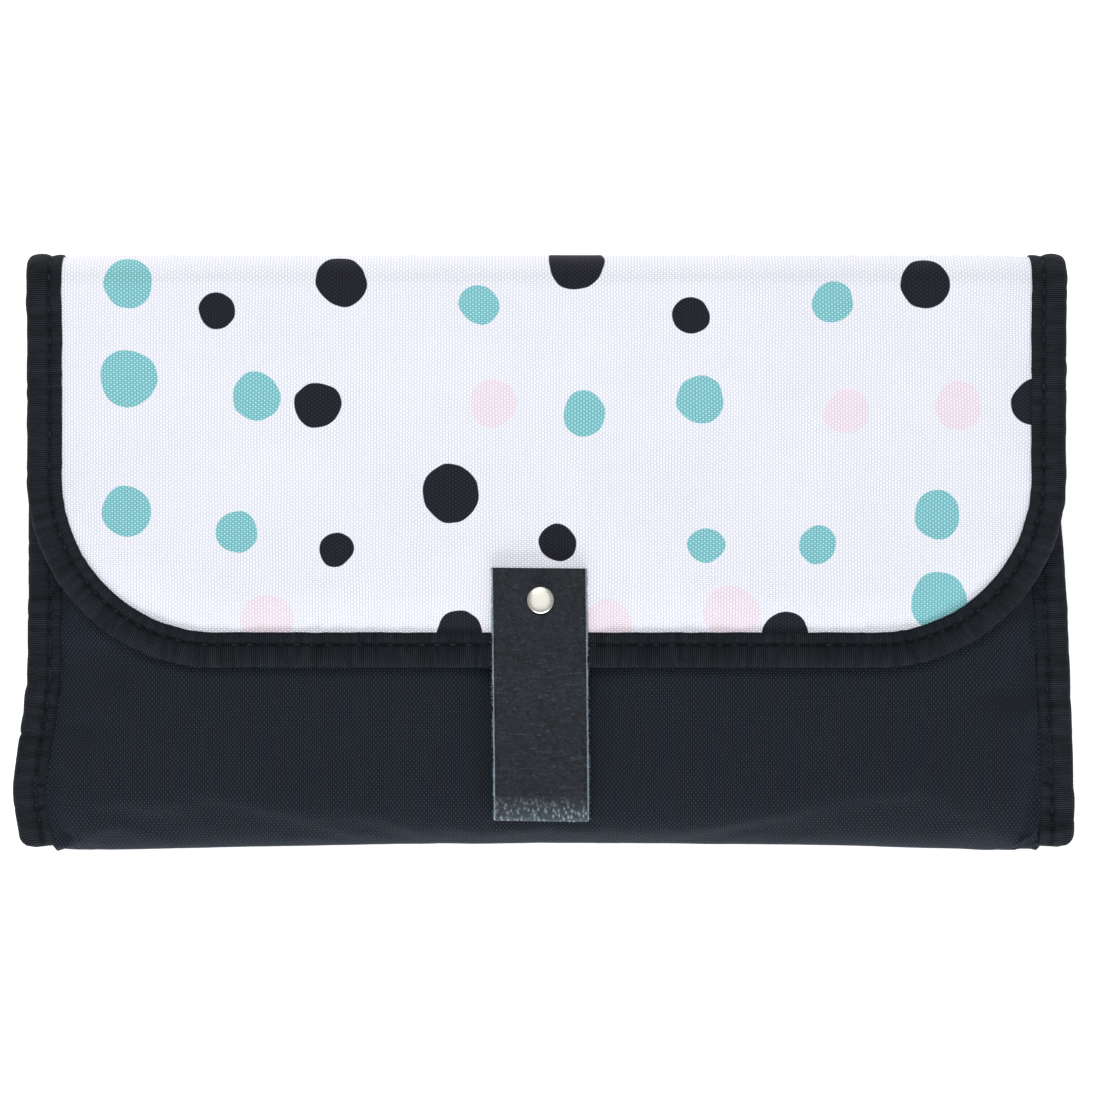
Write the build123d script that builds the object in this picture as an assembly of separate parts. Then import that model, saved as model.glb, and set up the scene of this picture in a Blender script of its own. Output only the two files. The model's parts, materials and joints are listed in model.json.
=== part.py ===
from build123d import *
import os

# A changing pad folded into its clutch. It lies on its back: +X runs across it, +Y towards the flap's fold,
# +Z up through the front. The origin is at the bottom centre of the folded pad. Millimetres.
# Stack from the table up: base panel, middle panel, pouch back wall, pocket, pouch front wall, flap, tab.

# Overall plan
POUCH_HALF_TOP = 151.8
POUCH_HALF_BOTTOM = 155.5
HALF_HEIGHT = 87.75
MAT_HALF_WIDTH = 151.0
MAT_FREE_END_Y = -84.0
UPPER_FOLD_Y = 84.5
FOLD_GAP = 0.25
MOUTH_Y = 80.0

# Fabric and padding
SHEET_T = 0.6
MAT_FOAM_HALF = 1.9
WALL_FOAM_T = 2.1
POCKET_HALF = 2.65
FLAP_FOAM_HALF = 0.7
TAPE_T = 0.6
TAPE_WIDTH = 10.5
PAD_EDGE = 10.8
PAD_SLOPE = 7.0
WEB_HALF = 5.0
CORNER_R = 20.0
POUCH_CORNER_R = 8.0
SMALLEST_CORNER_R = 1.0
PANEL_GAP = 0.5
POUCH_ROLL_EDGE = 0.8
POUCH_RIM_EDGE = 0.4
MOUTH_END_GAP = 1.0
MOUTH_TAPE_INSET = 1.0
FOAM_LIP = 0.3
TAPE_END_GAP = 2.0
TAPE_SEAM_OVERLAP = 0.01
ROOMY = 400.0

# Flap
FLAP_HALF_WIDTH = 153.0
FLAP_END_Y = -34.4
FLAP_CORNER_R = 56.0
FLAP_CLEARANCE = 2.6
FLAP_FOLD_R = 6.0
FOLD_RIM_GAP = 0.1
FOLD_WALL_GAP = 0.3
FLAP_FOLD_START_Y = HALF_HEIGHT - FLAP_FOLD_R

# Leather tab
TAB_X = -1.3
TAB_WIDTH = 28.0
TAB_TOP_Y = -5.0
TAB_SPLIT_Y = FLAP_END_Y - 0.3
TAB_FLAP_GAP = 0.1
TAB_END_Y = -79.7
LEATHER_T = 1.2
TAB_CUT_GAP = 0.1
TAB_FLOAT = 0.5
TAB_DROP = 1.4
TAB_DROP_LENGTH = 12.0

# Rivet and magnets
RIVET_Y = -14.4
RIVET_CAP_R = 4.0
RIVET_CAP_HEIGHT = 1.6
RIVET_BASE_T = 0.9
RIVET_TUBE_R = 1.9
RIVET_POST_R = 1.3
RIVET_HOLE_R = 1.95
RIVET_FLOOR_T = 0.4
RIVET_POST_GAP = 0.3
RIVET_POST_PLAY = 0.01
RIVET_DOME_SHARE = 0.65
MAGNET_R = 7.0
MAGNET_T = 1.5
MAGNET_Y = -67.5
PATCH_SIDE = 24.0
PATCH_T = 0.4
WELL_GAP = 0.5

# Heights that follow from the stack
MAT_HALF = MAT_FOAM_HALF + SHEET_T
WALL_T = SHEET_T + WALL_FOAM_T + SHEET_T
POUCH_HALF = POCKET_HALF + WALL_T
BASE_Z = MAT_HALF
MIDDLE_Z = BASE_Z + 2 * MAT_HALF + PANEL_GAP
POUCH_Z = MIDDLE_Z + MAT_HALF + PANEL_GAP + POUCH_HALF
FRONT_TOP_Z = POUCH_Z + POUCH_HALF
BACK_INSIDE_Z = POUCH_Z - POCKET_HALF
FULL_HALF_TOP = POUCH_HALF_TOP - PAD_EDGE - PAD_SLOPE
FLAP_HALF = FLAP_FOAM_HALF + SHEET_T
FLAP_Z = FRONT_TOP_Z + FLAP_CLEARANCE + FLAP_HALF
FLAP_TOP_Z = FLAP_Z + FLAP_HALF
FLAP_HINGE_Z = (POUCH_Z - POUCH_HALF + FLAP_TOP_Z) / 2
TAB_UPPER_Z = FLAP_TOP_Z + TAB_FLAP_GAP
TAB_LOWER_Z = FLAP_Z - FLAP_HALF - TAB_FLAP_GAP - LEATHER_T

os.makedirs("parts", exist_ok=True)


def save(shape, name):
    """Writes one piece as its own node."""
    export_step(shape, f"parts/{name}.step")


def plan_face(low_half, high_half, y_low, y_high, low_r=0.0):
    """A straight-sided plan outline, wider or narrower at the low end, whose low corners may be rounded."""
    corners = [(-low_half, y_low), (low_half, y_low), (high_half, y_high), (-high_half, y_high)]
    face = make_face(Polyline(*corners, close=True))
    if low_r > 0:
        face = fillet(face.vertices().group_by(Axis.Y)[0], low_r)
    return face


def base_plan(side, fold):
    """The base panel: bound on three edges, folded at its upper edge."""
    half = MAT_HALF_WIDTH - side
    return plan_face(half, half, MAT_FREE_END_Y + side, UPPER_FOLD_Y - fold, CORNER_R - side)


def middle_plan(side, fold):
    """The middle panel: bound at its sides, folded at both ends."""
    half = MAT_HALF_WIDTH - side
    return plan_face(half, half, -HALF_HEIGHT + fold, UPPER_FOLD_Y - fold)


def pouch_half(y):
    """Half the pouch's width at a height up its front: it flares a little towards the bottom."""
    share = (y + HALF_HEIGHT) / (2 * HALF_HEIGHT)
    return POUCH_HALF_BOTTOM + share * (POUCH_HALF_TOP - POUCH_HALF_BOTTOM)


def back_plan(side, fold):
    """The pouch's back wall: bound at its sides, rolled at the bottom, open at the mouth end."""
    y_low, y_high = -HALF_HEIGHT + fold, HALF_HEIGHT - MOUTH_END_GAP
    corner_r = max(POUCH_CORNER_R - side, SMALLEST_CORNER_R)
    return plan_face(pouch_half(y_low) - side, pouch_half(y_high) - side, y_low, y_high, corner_r)


def front_plan(side, fold):
    """The pouch's front wall: as the back wall, but it stops at the mouth."""
    below_mouth = Rectangle(ROOMY, ROOMY, align=(Align.CENTER, Align.MAX))
    return back_plan(side, fold) & (Pos(0, MOUTH_Y) * below_mouth)


def flap_plan(side, fold):
    """The flap up to its fold: bound on three edges, with wide rounded lower corners."""
    half = FLAP_HALF_WIDTH - side
    return plan_face(half, half, FLAP_END_Y + side, FLAP_FOLD_START_Y, FLAP_CORNER_R - side)


def plate(face, z_low, z_high):
    """A flat plate over a plan outline."""
    return Pos(0, 0, z_low) * extrude(face, amount=z_high - z_low)


def pillow(plan, z_mid, rise, half, way, grow=0.0, fold_edge=WEB_HALF):
    """One side of a padded shape: full thickness in the middle, sloping down to the rim at its edges."""
    low = Pos(0, 0, z_mid + way * rise) * plan(PAD_EDGE - grow, fold_edge - grow)
    high = Pos(0, 0, z_mid + way * half) * plan(PAD_EDGE + PAD_SLOPE - grow, fold_edge + PAD_SLOPE - grow)
    return loft([low.face(), high.face()])


def rim(plan, z_mid, low, high, way, fold_edge=FOLD_GAP):
    """The flat margin of a sheet, where the edge tape holds it."""
    z_a, z_b = sorted((z_mid + way * low, z_mid + way * high))
    return plate(plan(TAPE_T, fold_edge), z_a, z_b)


def skin(plan, z_mid, core_half, way):
    """A fabric sheet over one side of a foam core."""
    body = rim(plan, z_mid, 0, SHEET_T, way) + pillow(plan, z_mid, SHEET_T, core_half + SHEET_T, way)
    return (body - pillow(plan, z_mid, 0, core_half, way)).solid()


def core(plan, z_mid, core_half):
    """A foam core with bevelled edges."""
    return (pillow(plan, z_mid, 0, core_half, 1) + pillow(plan, z_mid, 0, core_half, -1)).solid()


def edge_tape(plan, z_mid, half, y_cut_low, y_cut_high):
    """Binding tape folded round the rim, cut off square beyond the two cut lines."""
    outer = plate(plan(0, FOLD_GAP), z_mid - half - TAPE_T, z_mid + half + TAPE_T)
    window = plate(plan(TAPE_WIDTH, FOLD_GAP), z_mid - ROOMY, z_mid + ROOMY)
    for y_cut, way in ((y_cut_low, -1), (y_cut_high, 1)):
        if y_cut is not None:
            outer -= Pos(0, y_cut + way * ROOMY / 2, z_mid) * Box(ROOMY, ROOMY, ROOMY)
    sheet = plate(plan(TAPE_T, FOLD_GAP - TAPE_SEAM_OVERLAP), z_mid - half, z_mid + half)
    return outer - window - sheet


def strips(shape):
    """The separate strips of an edge tape, left to right."""
    return sorted(shape.solids(), key=lambda s: s.center().X)


def pierced(shape, radius=RIVET_HOLE_R):
    """The shape with the rivet's hole through it."""
    return (shape - Pos(TAB_X, RIVET_Y, FLAP_Z) * Cylinder(radius, ROOMY)).solid()


def make_base_panel():
    save(skin(base_plan, BASE_Z, MAT_FOAM_HALF, -1), "base_cover")
    save(core(base_plan, BASE_Z, MAT_FOAM_HALF), "base_foam")
    save(skin(base_plan, BASE_Z, MAT_FOAM_HALF, 1), "base_wipe_sheet")
    tape = edge_tape(base_plan, BASE_Z, SHEET_T, None, UPPER_FOLD_Y - TAPE_END_GAP)
    save(tape.solid(), "base_binding")


def make_middle_panel():
    save(skin(middle_plan, MIDDLE_Z, MAT_FOAM_HALF, 1), "middle_cover")
    save(core(middle_plan, MIDDLE_Z, MAT_FOAM_HALF), "middle_foam")
    save(skin(middle_plan, MIDDLE_Z, MAT_FOAM_HALF, -1), "middle_wipe_sheet")
    y_cuts = -HALF_HEIGHT + TAPE_END_GAP, UPPER_FOLD_Y - TAPE_END_GAP
    tapes = strips(edge_tape(middle_plan, MIDDLE_Z, SHEET_T, *y_cuts))
    for tape, side in zip(tapes, ("left", "right")):
        save(tape, f"middle_binding_{side}")


def wall_layers(plan, way):
    """Lining, padding and outer fabric of one pouch wall, nested between four sloping surfaces."""
    padded_half = POCKET_HALF + SHEET_T + WALL_FOAM_T
    inside, lined, padded, outside = (
        pillow(plan, POUCH_Z, level, half, way, grow, POUCH_ROLL_EDGE)
        for level, half, grow in (
            (0, POCKET_HALF, 0),
            (SHEET_T, POCKET_HALF + SHEET_T, 0),
            (SHEET_T, padded_half, FOAM_LIP),
            (2 * SHEET_T, POUCH_HALF, FOAM_LIP),
        )
    )
    lining = lined + rim(plan, POUCH_Z, 0, SHEET_T, way, POUCH_RIM_EDGE) - inside
    outer = outside + rim(plan, POUCH_Z, SHEET_T, 2 * SHEET_T, way, POUCH_RIM_EDGE) - padded
    return lining.solid(), (padded - lined).solid(), outer.solid()


def make_pouch_walls():
    lining, padding, outer = wall_layers(back_plan, -1)
    save(lining, "back_lining")
    save(padding, "back_padding")
    save(outer, "back_outer")
    lining, padding, outer = wall_layers(front_plan, 1)
    well_z = FRONT_TOP_Z - SHEET_T - WALL_FOAM_T / 2
    well = Box(PATCH_SIDE + 2 * WELL_GAP, PATCH_SIDE + 2 * WELL_GAP, WALL_FOAM_T * 2)
    save(lining, "front_lining")
    save((padding - Pos(TAB_X, MAGNET_Y, well_z) * well).solid(), "front_padding")
    save(outer, "front_outer")


def make_pouch_bindings():
    """Tapes that close the two sides of the pouch, and the one along its mouth."""
    tapes = strips(edge_tape(back_plan, POUCH_Z, 2 * SHEET_T, -HALF_HEIGHT + TAPE_END_GAP, None))
    for tape, side in zip(tapes, ("left", "right")):
        save(tape, f"pouch_binding_{side}")
    length = 2 * (FULL_HALF_TOP - MOUTH_TAPE_INSET)
    at_wall = Pos(0, MOUTH_Y, FRONT_TOP_Z - WALL_T / 2)
    below = (Align.CENTER, Align.MAX, Align.CENTER)
    tape = Pos(0, TAPE_T) * Box(length, TAPE_WIDTH + TAPE_T, WALL_T + 2 * TAPE_T, align=below)
    wall = Box(ROOMY, ROOMY, WALL_T, align=below)
    save(at_wall * (tape - wall).solid(), "mouth_binding")


def make_pouch_magnet():
    """The magnet under the front fabric, and the patch that holds it there."""
    top = FRONT_TOP_Z - SHEET_T
    save(Pos(TAB_X, MAGNET_Y, top - MAGNET_T / 2) * Cylinder(MAGNET_R, MAGNET_T), "pouch_magnet")
    patch = Box(PATCH_SIDE, PATCH_SIDE, PATCH_T)
    save(Pos(TAB_X, MAGNET_Y, top - MAGNET_T - PATCH_T / 2) * patch, "magnet_patch")


def flap_fold():
    """The outer fabric turned over the top of the pouch, ending just above the back wall between the rims."""
    centre_z = FLAP_TOP_Z - FLAP_FOLD_R
    turn_at = Pos(FLAP_FOLD_START_Y, centre_z)
    turn = Circle(FLAP_FOLD_R) - Circle(FLAP_FOLD_R - SHEET_T)
    turn &= Rectangle(FLAP_FOLD_R, FLAP_FOLD_R, align=(Align.MIN, Align.MIN))
    hang_at = Pos(HALF_HEIGHT, centre_z)
    corner = (Align.MAX, Align.MAX)
    fall = Rectangle(SHEET_T, centre_z - FLAP_HINGE_Z - FOLD_RIM_GAP, align=corner)
    stub = Rectangle(SHEET_T, centre_z - BACK_INSIDE_Z - FOLD_WALL_GAP, align=corner)
    wide = (turn_at * turn + hang_at * fall).face()
    narrow = (hang_at * stub).face()
    return along_x(wide, 2 * (FLAP_HALF_WIDTH - TAPE_T), 0) + along_x(narrow, 2 * FULL_HALF_TOP, 0)


def along_x(profile, width, x_mid):
    """A YZ profile swept across the pad, centred on x_mid."""
    return Plane.YZ.offset(x_mid - width / 2) * extrude(profile, amount=width)


def make_flap():
    outer = skin(flap_plan, FLAP_Z, FLAP_FOAM_HALF, 1) + flap_fold()
    save(pierced(outer), "flap_outer")
    save(pierced(core(flap_plan, FLAP_Z, FLAP_FOAM_HALF)), "flap_padding")
    save(pierced(skin(flap_plan, FLAP_Z, FLAP_FOAM_HALF, -1)), "flap_lining")
    save(edge_tape(flap_plan, FLAP_Z, SHEET_T, None, None).solid(), "flap_binding")


def make_tab_ends():
    """The two ends of the leather strip, riveted through the flap from above and below."""
    length = TAB_TOP_Y - TAB_SPLIT_Y - TAB_CUT_GAP
    end = Box(TAB_WIDTH, length, LEATHER_T, align=(Align.CENTER, Align.MAX, Align.MIN))
    save(pierced(Pos(TAB_X, TAB_TOP_Y, TAB_UPPER_Z) * end), "tab_front_end")
    save(pierced(Pos(TAB_X, TAB_TOP_Y, TAB_LOWER_Z) * end), "tab_back_end")


def make_tab_loop():
    """The free loop of the strip: two legs that close up below the flap and turn at the tip."""
    tip_top = TAB_UPPER_Z + LEATHER_T - TAB_DROP
    tip_low = FRONT_TOP_Z + TAB_FLOAT
    bend_r = (tip_top - tip_low) / 2
    bend_y = TAB_END_Y + bend_r
    bend_z = tip_low + bend_r
    knee_y = TAB_SPLIT_Y - TAB_DROP_LENGTH
    outside = Polyline(
        (bend_y, tip_low),
        (knee_y, tip_low),
        (TAB_SPLIT_Y, TAB_LOWER_Z),
        (TAB_SPLIT_Y, TAB_LOWER_Z + LEATHER_T),
        (knee_y, tip_low + LEATHER_T),
        (bend_y, tip_low + LEATHER_T),
    )
    inside = Polyline(
        (bend_y, tip_top - LEATHER_T),
        (knee_y, tip_top - LEATHER_T),
        (TAB_SPLIT_Y, TAB_UPPER_Z),
        (TAB_SPLIT_Y, TAB_UPPER_Z + LEATHER_T),
        (knee_y, tip_top),
        (bend_y, tip_top),
    )
    turns = [CenterArc((bend_y, bend_z), radius, 90, 180) for radius in (bend_r, bend_r - LEATHER_T)]
    save(along_x(make_face([*outside.edges(), *inside.edges(), *turns]), TAB_WIDTH, TAB_X), "tab_loop")
    gap_z = (tip_low + tip_top) / 2
    save(Pos(TAB_X, MAGNET_Y, gap_z) * Cylinder(MAGNET_R, MAGNET_T), "tab_magnet")


def make_rivet():
    """A double-cap rivet: a tube on the back cap takes the post of the front cap."""
    at = Pos(TAB_X, RIVET_Y, 0)
    cap_z = TAB_UPPER_Z + LEATHER_T
    floor_z = TAB_LOWER_Z + RIVET_FLOOR_T
    tube_top = TAB_UPPER_Z + LEATHER_T / 2
    up = (Align.CENTER, Align.CENTER, Align.MIN)
    base = Pos(0, 0, TAB_LOWER_Z - RIVET_BASE_T) * Cylinder(RIVET_CAP_R, RIVET_BASE_T, align=up)
    base += Pos(0, 0, TAB_LOWER_Z) * Cylinder(RIVET_TUBE_R, tube_top - TAB_LOWER_Z, align=up)
    base -= Pos(0, 0, floor_z) * Cylinder(RIVET_POST_R, tube_top, align=up)
    save(at * base.solid(), "rivet_base")
    dome_rise = RIVET_CAP_HEIGHT * RIVET_DOME_SHARE
    ball_r = (RIVET_CAP_R**2 + dome_rise**2) / (2 * dome_rise)
    cap = Pos(0, 0, cap_z) * Cylinder(RIVET_CAP_R, RIVET_CAP_HEIGHT, align=up)
    cap &= Pos(0, 0, cap_z + RIVET_CAP_HEIGHT - ball_r) * Sphere(ball_r)
    post_low = floor_z + RIVET_POST_GAP
    cap += Pos(0, 0, post_low) * Cylinder(RIVET_POST_R - RIVET_POST_PLAY, cap_z - post_low, align=up)
    save(at * cap.solid(), "rivet_cap")


make_base_panel()
make_middle_panel()
make_pouch_walls()
make_pouch_bindings()
make_pouch_magnet()
make_flap()
make_tab_ends()
make_tab_loop()
make_rivet()
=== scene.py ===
"""Looks for a changing pad folded into its clutch: woven cloth, ribbed tape, a printed flap, a leather tab.

Lengths are worked in millimetres and turned into metres when a mesh is made. Sheets of cloth carry a UV map
in millimetres along the cloth, so that weave, ribs and print follow the fabric over every fold.
"""

import json
import math

import bpy
import mathutils
import numpy as np
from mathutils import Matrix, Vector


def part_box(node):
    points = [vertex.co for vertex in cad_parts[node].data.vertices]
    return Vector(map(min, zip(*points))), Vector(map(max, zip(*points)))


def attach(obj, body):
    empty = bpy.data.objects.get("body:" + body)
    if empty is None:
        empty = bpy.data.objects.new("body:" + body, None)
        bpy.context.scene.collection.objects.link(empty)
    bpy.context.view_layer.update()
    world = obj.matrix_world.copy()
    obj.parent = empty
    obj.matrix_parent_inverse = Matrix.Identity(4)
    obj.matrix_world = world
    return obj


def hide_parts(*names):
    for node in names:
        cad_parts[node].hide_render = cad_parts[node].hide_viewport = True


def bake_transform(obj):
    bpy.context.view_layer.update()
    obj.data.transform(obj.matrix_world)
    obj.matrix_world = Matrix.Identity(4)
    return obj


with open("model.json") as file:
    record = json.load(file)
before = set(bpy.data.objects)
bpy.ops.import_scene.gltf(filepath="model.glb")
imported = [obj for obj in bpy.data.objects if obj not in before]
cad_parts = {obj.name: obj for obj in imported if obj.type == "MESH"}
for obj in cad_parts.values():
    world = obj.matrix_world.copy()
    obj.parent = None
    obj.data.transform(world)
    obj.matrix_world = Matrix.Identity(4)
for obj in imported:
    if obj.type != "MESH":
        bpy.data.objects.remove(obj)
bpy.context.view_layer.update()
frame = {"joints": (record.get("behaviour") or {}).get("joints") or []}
MM = 0.001
UV_NAME = "cloth"


# ---------------------------------------------------------------- places from the frame

def box_mm(node):
    low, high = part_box(node)
    return np.array(low) / MM, np.array(high) / MM


def middle_z(node):
    low, high = box_mm(node)
    return (low[2] + high[2]) / 2


def hinge_mm(name):
    """A hinge line's Y and Z."""
    joint = next(j for j in frame["joints"] if j["name"] == name)
    return joint["pos_m"][1] / MM, joint["pos_m"][2] / MM


flap_low, flap_high = box_mm("flap_binding")
FLAP_HALF_WIDTH = flap_high[0]
FLAP_END_Y = flap_low[1]
FLAP_Z = middle_z("flap_binding")
FLAP_OUT = box_mm("flap_outer")[1][2] - FLAP_Z
POUCH_Z = middle_z("pouch_binding_left")
POUCH_OUT = box_mm("front_outer")[1][2] - POUCH_Z
BOTTOM_Y = box_mm("front_outer")[0][1]
MOUTH_Y = box_mm("front_outer")[1][1]
tab_low, tab_high = box_mm("tab_front_end")
TAB_X = (tab_low[0] + tab_high[0]) / 2
TAB_HALF_WIDTH = (tab_high[0] - tab_low[0]) / 2
TAB_TOP_Y = tab_high[1]
TAB_TIP_Y = box_mm("tab_loop")[0][1]
LEATHER_T = tab_high[2] - tab_low[2]
BASE_Z = middle_z("base_foam")
MIDDLE_Z = middle_z("middle_foam")
MAT_OUT = BASE_Z - box_mm("base_cover")[0][2]
MAT_HALF_WIDTH = box_mm("base_binding")[1][0]
FLAP_HINGE = hinge_mm("flap_open")
MAT_HINGE = hinge_mm("mat_unfold")
POUCH_HINGE = hinge_mm("pouch_unfold")
TAB_HINGE = hinge_mm("tab_lift")


# ---------------------------------------------------------------- numbers and noise

def smooth(x):
    x = np.clip(x, 0, 1)
    return x * x * (3 - 2 * x)


NOISE_CELLS = 64


def noise(a, b, seed):
    """Smooth repeatable noise between -1 and 1 whose features are about one unit across."""
    table = np.random.default_rng(seed).uniform(-1, 1, (NOISE_CELLS, NOISE_CELLS))
    a, b = np.broadcast_arrays(np.asarray(a, float), np.asarray(b, float))
    ia, ib = np.floor(a).astype(int), np.floor(b).astype(int)
    fa, fb = smooth(a - ia), smooth(b - ib)

    def at(i, j):
        return table[i % NOISE_CELLS, j % NOISE_CELLS]

    low = at(ia, ib) * (1 - fa) + at(ia + 1, ib) * fa
    high = at(ia, ib + 1) * (1 - fa) + at(ia + 1, ib + 1) * fa
    return low * (1 - fb) + high * fb


def lengths(steps):
    """The length walked up to each point of a line, from the steps between its points."""
    return np.concatenate([[0.0], np.cumsum(steps)])


def shares(span, near, start, count):
    """Places across a sheet, -1 to 1: at the distances near from either edge, and evenly from start on."""
    middle = np.linspace(-1 + start / span, 1 - start / span, count)
    return np.concatenate([-1 + near / span, middle, 1 - near[::-1] / span])


# ---------------------------------------------------------------- meshes

def mesh_object(name, points, faces, corner_uv=None, materials=(), face_material=None):
    mesh = bpy.data.meshes.new(name)
    mesh.from_pydata((np.asarray(points) * MM).tolist(), [], [list(map(int, f)) for f in faces])
    if corner_uv is not None:
        layer = mesh.uv_layers.new(name=UV_NAME)
        layer.data.foreach_set("uv", np.asarray(corner_uv, np.float32).ravel())
    for material in materials:
        mesh.materials.append(material)
    if face_material is not None:
        mesh.polygons.foreach_set("material_index", np.asarray(face_material, np.int32))
    mesh.polygons.foreach_set("use_smooth", [True] * len(mesh.polygons))
    mesh.validate()
    obj = bpy.data.objects.new(name, mesh)
    bpy.context.scene.collection.objects.link(obj)
    return obj


def grid_quads(index):
    return np.stack([index[:-1, :-1], index[:-1, 1:], index[1:, 1:], index[1:, :-1]], -1).reshape(-1, 4)


def grid_walls(upper, lower):
    """Quads that join two grids of point numbers round their edges, one array for each edge."""
    forward, backward = slice(None), slice(None, None, -1)
    for side in ((0, backward), (-1, forward), (forward, 0), (backward, -1)):
        a, b = upper[side], lower[side]
        yield np.stack([a[:-1], a[1:], b[1:], b[:-1]], -1)


def slab(name, top, bottom, uv, materials, side_material=0, bottom_material=0):
    """A closed sheet between two grids of points, with walls round it. uv is one value per grid point."""
    count = top.shape[0] * top.shape[1]
    upper = np.arange(count).reshape(top.shape[:2])
    lower = upper + count
    walls = np.concatenate(list(grid_walls(upper, lower)))
    under = grid_quads(lower)[:, [0, 3, 2, 1]]
    parts = ((grid_quads(upper), 0), (under, bottom_material), (walls, side_material))
    quads = np.concatenate([part for part, _ in parts])
    slots = np.concatenate([np.full(len(part), slot) for part, slot in parts])
    points = np.concatenate([top.reshape(-1, 3), bottom.reshape(-1, 3)])
    flat_uv = np.concatenate([uv.reshape(-1, 2)] * 2)
    facing = np.cross(top[0, 1] - top[0, 0], top[1, 0] - top[0, 0]) @ (top[0, 0] - bottom[0, 0])
    if facing < 0:
        quads = quads[:, ::-1]
    return mesh_object(name, points, quads, flat_uv[quads.ravel()], materials, slots)


def tube(name, rings, uv, materials):
    """A closed bar through rings of points (n, k, 3). uv is (n, k + 1, 2): the last strip closes the ring."""
    n, k = rings.shape[:2]
    index = np.arange(n * k).reshape(n, k)
    after = np.roll(index, -1, 1)
    quads = np.stack([index[:-1], after[:-1], after[1:], index[1:]], -1).reshape(-1, 4)
    corner = np.stack([uv[:-1, :-1], uv[:-1, 1:], uv[1:, 1:], uv[1:, :-1]], 2).reshape(-1, 2)
    faces = quads.tolist() + [index[0, ::-1].tolist(), index[-1].tolist()]
    corner = np.concatenate([corner, uv[0, :-1][::-1], uv[-1, :-1]])
    centre = rings[0].mean(0)
    across = np.cross(rings[0, 1] - rings[0, 0], rings[1, 0] - rings[0, 0])
    obj = mesh_object(name, rings.reshape(-1, 3), faces, corner, materials)
    if across @ (rings[0, 0] - centre) < 0:
        obj.data.flip_normals()
    return obj


def at_mm(x, y, z):
    return x * MM, y * MM, z * MM


def finish(piece, slot, nodes=(), body=None):
    """Hides the CAD nodes a piece stands for and gives it the body it moves with. Its slot is not used."""
    if nodes:
        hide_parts(*nodes)
    if body:
        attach(piece, body)
    return piece


# ---------------------------------------------------------------- cloth simulation

def blow_up(grids, held, closed, growth, cap, pressure=4.0, frames=20):
    """Simulates grids of points as cloth under pressure and gives the moved grids.

    The first grid faces up. held marks the points that stay. growth is how much too large the cloth is for
    its place, which gathers it. cap is how far a point may move. Closed grids are joined round their edges.
    """
    first = grids[0]
    facing_up = np.cross(first[0, 1] - first[0, 0], first[1, 0] - first[0, 0])[2] > 0
    quads, indexes, start = [], [], 0
    for number, grid in enumerate(grids):
        size = grid.shape[0] * grid.shape[1]
        indexes.append(start + np.arange(size).reshape(grid.shape[:2]))
        made = grid_quads(indexes[-1])
        quads.append(made[:, ::-1] if facing_up == (number > 0) else made)
        start += size
    if closed:
        quads += [wall if facing_up else wall[:, ::-1] for wall in grid_walls(*indexes)]
    points = np.concatenate([grid.reshape(-1, 3) for grid in grids])
    pinned = np.concatenate([mask.ravel() for mask in held])
    mesh = bpy.data.meshes.new("cloth_work")
    mesh.from_pydata((points * MM).tolist(), [], np.concatenate(quads).tolist())
    work = bpy.data.objects.new("cloth_work", mesh)
    bpy.context.scene.collection.objects.link(work)
    group = work.vertex_groups.new(name="held")
    group.add([int(i) for i in np.nonzero(pinned)[0]], 1.0, "REPLACE")
    cloth = work.modifiers.new("cloth", "CLOTH")
    cloth.settings.vertex_group_mass = "held"
    cloth.settings.effector_weights.gravity = 0
    cloth.settings.use_pressure = True
    cloth.settings.uniform_pressure_force = pressure
    cloth.settings.shrink_min = -growth
    cloth.settings.quality = 5
    cloth.point_cache.frame_start = 1
    cloth.point_cache.frame_end = frames
    for frame_number in range(1, frames + 1):
        bpy.context.scene.frame_set(frame_number)
    moved = work.evaluated_get(bpy.context.evaluated_depsgraph_get()).data
    flat = np.empty(len(points) * 3, np.float32)
    moved.vertices.foreach_get("co", flat)
    shift = flat.reshape(-1, 3) / MM - points
    far = np.linalg.norm(shift, axis=1, keepdims=True)
    points = points + shift * np.minimum(1, cap / np.maximum(far, 1e-9))
    bpy.data.objects.remove(work)
    bpy.data.meshes.remove(mesh)
    bpy.context.scene.frame_set(1)
    return [points[index] for index in indexes]


# ---------------------------------------------------------------- shader writing

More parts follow.
